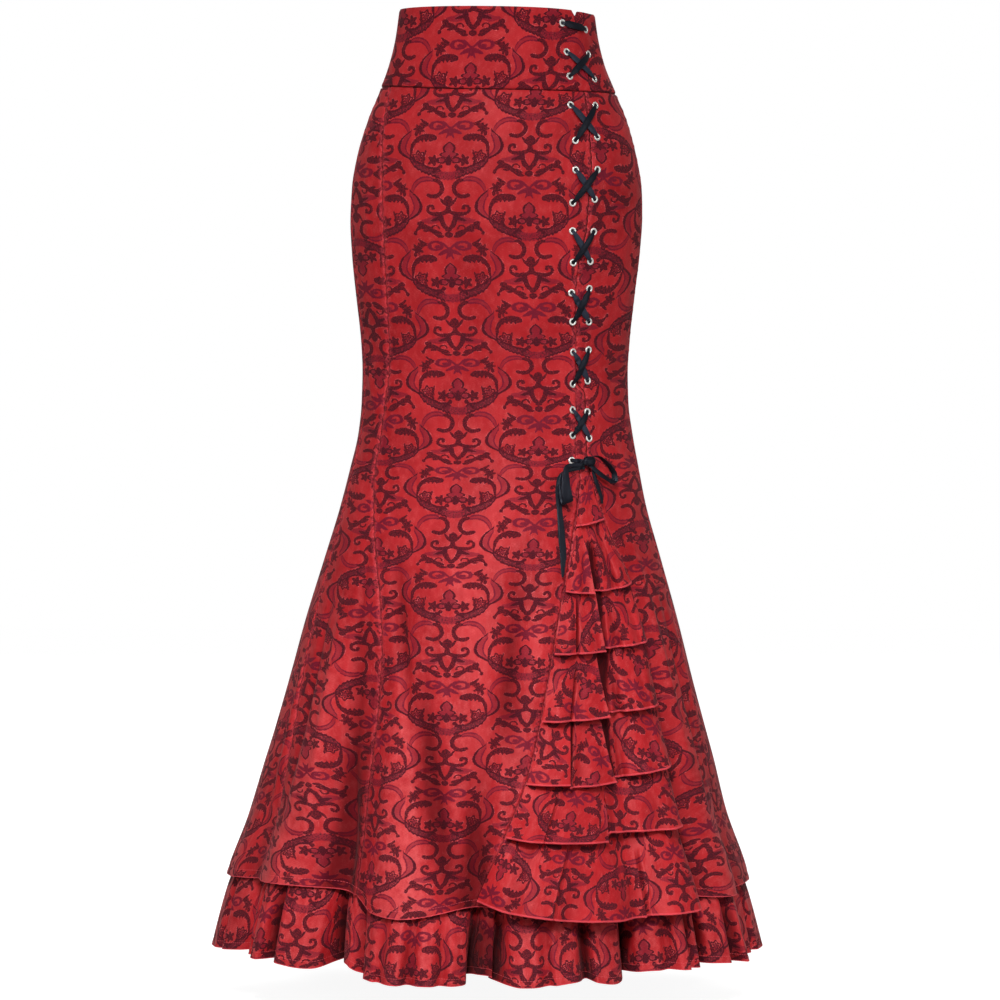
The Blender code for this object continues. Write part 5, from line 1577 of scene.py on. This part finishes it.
def brocade(name, group, edge_highlight=0.0, stitch_at=0.0, seam_dark=0.0, waist_line=0.0, base=GROUND_ROUGHNESS):
    """The damask cloth. edge_highlight is how wide the painted highlight along the rolled edge is, and stitch_at
    how far the stitches lie from the hem. seam_dark is how dark the side seams are, waist_line how wide the dark
    line along the bottom is, and base the ground's roughness.

    The map "border" holds the distance from the hem and from a seam, and "fold" the share of painted shade in a
    fold and of painted highlight on a ridge."""
    made, tree, shader = new_material(name)
    u, v = map_terms(tree, "cloth")
    hem, side = map_terms(tree, "border")
    fold, ridge = map_terms(tree, "fold")
    across, down = u * 1000.0, v * 1000.0
    noises = (noise(tree, across, down, *row) for row in CLOTH_NOISES)
    ragged, uneven, grain, cloud, glint, speckle, wave, ripple = noises
    drift = ragged * RAGGED + uneven * UNEVEN + (DRAWN_WIDER - (RAGGED + UNEVEN) / 2)
    pattern = tree.nodes.new("ShaderNodeGroup")
    pattern.node_tree = group
    for key, term in zip(PATTERN_INPUTS, (across, down, drift, speckle)):
        tree.links.new(term.socket, pattern.inputs[key])
    dark, speckles, middle, rim = (Term(tree, pattern.outputs[key]) for key in PATTERN_TONES)

    colour = mixed(tree, (cloud - 0.2).clamped(1.7), GROUND_DEEP, GROUND_BRIGHT)
    # Lighter pink from the thread grain, plus painted highlights: glints of sheen and the tops of ridges
    threads = (grain - 0.5) * 1.0 + (glint - 0.5) * 0.8 + ridge * 0.4
    colour = mixed(tree, threads.clamped(), colour, GROUND_THREAD_AND_HIGHLIGHT)
    colour = mixed(tree, (middle * (speckle * 0.8 + 0.62)).clamped(), colour, MIDDLE_RED)
    colour = mixed(tree, rim * (glint - 0.42).clamped(6.0), colour, RIM_THREAD)
    woven = (grain * 0.7 + speckle * 0.9 + 0.08).clamped()
    colour = mixed(tree, dark.larger(speckles * 0.8) * woven, colour, DARK_PLUM)
    if seam_dark:
        # Painted highlight streaks on the puckers beside a seam
        seam_highlight = (noise(tree, across, down, *STREAK_NOISE) - 0.50).share(0.3)
        seam_highlight = (STREAK_REACH - side).clamped(160.0) * seam_highlight
        colour = mixed(tree, seam_highlight * 0.7, colour, EDGE_HIGHLIGHT_RED)
        near = (SEAM_LINE_WIDE - side).clamped(2500.0) * (ragged * 0.7 + 0.6) * seam_dark
        near = near.larger((waist_line - hem).clamped(2000.0) * 0.9)
        colour = mixed(tree, near.clamped(), colour, SEAM_SHADE)
    # Painted shade in the folds, from the fold map
    colour = mixed(tree, fold.clamped() * DEEPEST_SHADE, colour, FOLD_SHADE)
    # A painted highlight along the rolled edge of the hem
    if edge_highlight:
        edge = (1.0 - hem * (1.0 / edge_highlight)).clamped(3.0)
        colour = mixed(tree, edge * (ragged * 0.6 + 0.45).clamped(), colour, EDGE_HIGHLIGHT_RED)
    relief = middle * 0.06 + dark * 0.10 + grain * 0.10 + wave * WAVE_HIGH + ripple * RIPPLE_HIGH
    if stitch_at:
        dash = ((across * (1.0 / STITCH_PITCH)).math("FRACT") - STITCH_APART).share(0.2)
        stitch = (STITCH_HALF - abs(hem - stitch_at)).clamped(9000.0) * dash
        colour = mixed(tree, stitch * 0.8, colour, STITCH_RED)
        relief = relief + stitch * 0.15
    rough = dark.larger(middle * 0.6) * 0.44 + ((grain - 0.5) * 0.16 + base) + fold * 0.6
    finish_look(tree, shader, colour, rough.clamped(), relief, BROCADE_VALUES)
    return made


def satin():
    made, tree, shader = new_material("black_satin")
    along, across = map_terms(tree, "cloth")
    threads = noise(tree, along, across, 350.0, 5200.0)
    folds = noise(tree, along, across, 160.0, 420.0)
    # The under straps get a painted blue sheen over the black satin
    colour = mixed(tree, (across - UNDER_SHIFT / 2).clamped(1000.0), SATIN_BLACK, SATIN_SHEEN_BLUE)
    finish_look(tree, shader, colour, (threads - 0.5) * 0.2 + 0.40, threads * 0.03 + folds * 0.35, SATIN_VALUES)
    return made


def eyelet_metal():
    made, tree, shader = new_material("eyelet_silver")
    wear = object_noise(tree, 900.0)
    tree.links.new(mixed(tree, wear, (0.92, 0.90, 0.86, 1.0), (0.78, 0.76, 0.72, 1.0)), shader.inputs["Base Color"])
    tree.links.new((wear * 0.14 + 0.18).socket, shader.inputs["Roughness"])
    shader.inputs["Metallic"].default_value = 0.45
    return made


def hole_shade_disc():
    made, tree, shader = new_material("eyelet_hole_shade")
    # A near-black disc, painted as the shade inside an eyelet's hole
    shade = mixed(tree, object_noise(tree, 1500.0), (0.004, 0.003, 0.004, 1.0), (0.010, 0.007, 0.008, 1.0))
    tree.links.new(shade, shader.inputs["Base Color"])
    shader.inputs["Roughness"].default_value = 0.9
    return made


# ---- camera, light and stage


def aimed(place, aim):
    """The turn that points a camera or a lamp from a place to an aim."""
    return (Vector(aim) - Vector(place)).to_track_quat("-Z", "Y").to_euler()


def set_camera():
    data = bpy.data.cameras.new("camera")
    data.lens = CAMERA_LENS
    data.sensor_width = 36.0
    data.clip_end = 100.0
    made = linked("camera", data)
    made.location = CAMERA_PLACE
    made.rotation_euler = aimed(CAMERA_PLACE, CAMERA_AIM)
    bpy.context.scene.camera = made


def set_lamps():
    for name, place, aim, width, height, spread_angle, watts in LAMPS:
        data = bpy.data.lights.new(name, "AREA")
        data.shape = "RECTANGLE"
        data.size, data.size_y = width, height
        data.spread = math.radians(spread_angle)
        data.energy = watts
        made = linked(name, data)
        made.location = place
        made.rotation_euler = aimed(place, aim)


def set_world():
    """The camera sees white, and the skirt is lit a little from all round."""
    world = bpy.data.worlds.new("studio")
    world.use_nodes = True
    tree = world.node_tree
    tree.nodes.clear()
    path = tree.nodes.new("ShaderNodeLightPath")
    mix = tree.nodes.new("ShaderNodeMixShader")
    out = tree.nodes.new("ShaderNodeOutputWorld")
    tree.links.new(path.outputs["Is Camera Ray"], mix.inputs["Fac"])
    for slot, strength in ((1, WORLD_STRENGTH), (2, 1.0)):
        light = tree.nodes.new("ShaderNodeBackground")
        light.inputs["Color"].default_value = (1.0, 1.0, 1.0, 1.0)
        light.inputs["Strength"].default_value = strength
        tree.links.new(light.outputs[0], mix.inputs[slot])
    tree.links.new(mix.outputs[0], out.inputs["Surface"])
    bpy.context.scene.world = world


def set_floor():
    mesh = bpy.data.meshes.new("floor")
    corners = [(x * FLOOR_REACH, y * FLOOR_REACH, 0.0) for x, y in ((-1, -1), (1, -1), (1, 1), (-1, 1))]
    mesh.from_pydata(corners, [], [(0, 1, 2, 3)])
    made, tree, shader = new_material("pale_floor")
    shader.inputs["Base Color"].default_value = STAGE_PALE
    shader.inputs["Roughness"].default_value = 0.9
    shader.inputs["Emission Color"].default_value = (1.0, 1.0, 1.0, 1.0)
    path = tree.nodes.new("ShaderNodeLightPath")
    seen = Term(tree, path.outputs["Is Camera Ray"]) * STAGE_GLOW
    tree.links.new(seen.socket, shader.inputs["Emission Strength"])
    mesh.materials.append(made)
    floor = linked("floor", mesh)
    floor.location = (0.0, 0.0, -FLOOR_DROP)


# ---- the whole skirt

set_camera()
set_lamps()
set_world()
set_floor()
bpy.context.scene.view_settings.view_transform = "Standard"

front = Front()
lace = satin()

# The free ends of the lace. Their lengths are those of the solids' lines in part.py.
left_tail, left_path = tail(front, "lace_tail_left", LEFT_TAIL, lace)
right_tail, right_path = tail(front, "lace_tail_right", RIGHT_TAIL, lace)

group = damask_group()
edged = {"edge_highlight": PANEL_EDGE_WIDE, "stitch_at": PANEL_STITCH_AT}
panel_look = brocade("brocade_panel", group, **edged, seam_dark=0.5)
lap_look = brocade("brocade_lapped", group, **edged, seam_dark=1.0)
band_look = brocade("brocade_band", group, seam_dark=0.5, waist_line=WAIST_LINE_WIDE, base=BAND_ROUGHNESS)
tier_look = brocade("brocade_tier", group, edge_highlight=TIER_EDGE_WIDE)
ruffle_look = brocade("brocade_ruffle", group, edge_highlight=PANEL_EDGE_WIDE, stitch_at=RUFFLE_STITCH_AT)

bands = (
    ("waistband_front", *BAND_SEAMS, band_look, NOTCH_ANGLES),
    ("waistband_back", BAND_SEAMS[1], BAND_SEAMS[0] + 360.0, band_look),
)
panels = (
    ("front_left", seam(SIDE_LEFT), seam(PRINCESS), panel_look),
    ("front_centre", seam(PRINCESS), seam(CENTRE_EDGE), panel_look),
    ("front_right", seam(RIGHT_EDGE), seam(SIDE_RIGHT), lap_look),
    ("back_right", seam(SIDE_RIGHT), back_seam, panel_look),
    ("back_left", back_seam, seam(SIDE_LEFT, 360.0), panel_look),
    ("godet_insert", seam(CENTRE_EDGE), seam(RIGHT_EDGE), panel_look, SPLIT_DROP),
)
ruffles = (
    ("hem_ruffle_front", *RUFFLE_SEAMS, ruffle_look),
    ("hem_ruffle_back", RUFFLE_SEAMS[1], RUFFLE_SEAMS[0] + 360.0, ruffle_look),
)
for make, rows in ((waistband, bands), (panel, panels), (hem_ruffle, ruffles)):
    {row[0]: make(*row) for row in rows}
{row[0]: tier(number, tier_look) for number, row in enumerate(TIERS)}

lacing(front, lace)
bow(front, lace)
eyelets(front, eyelet_metal(), hole_shade_disc())
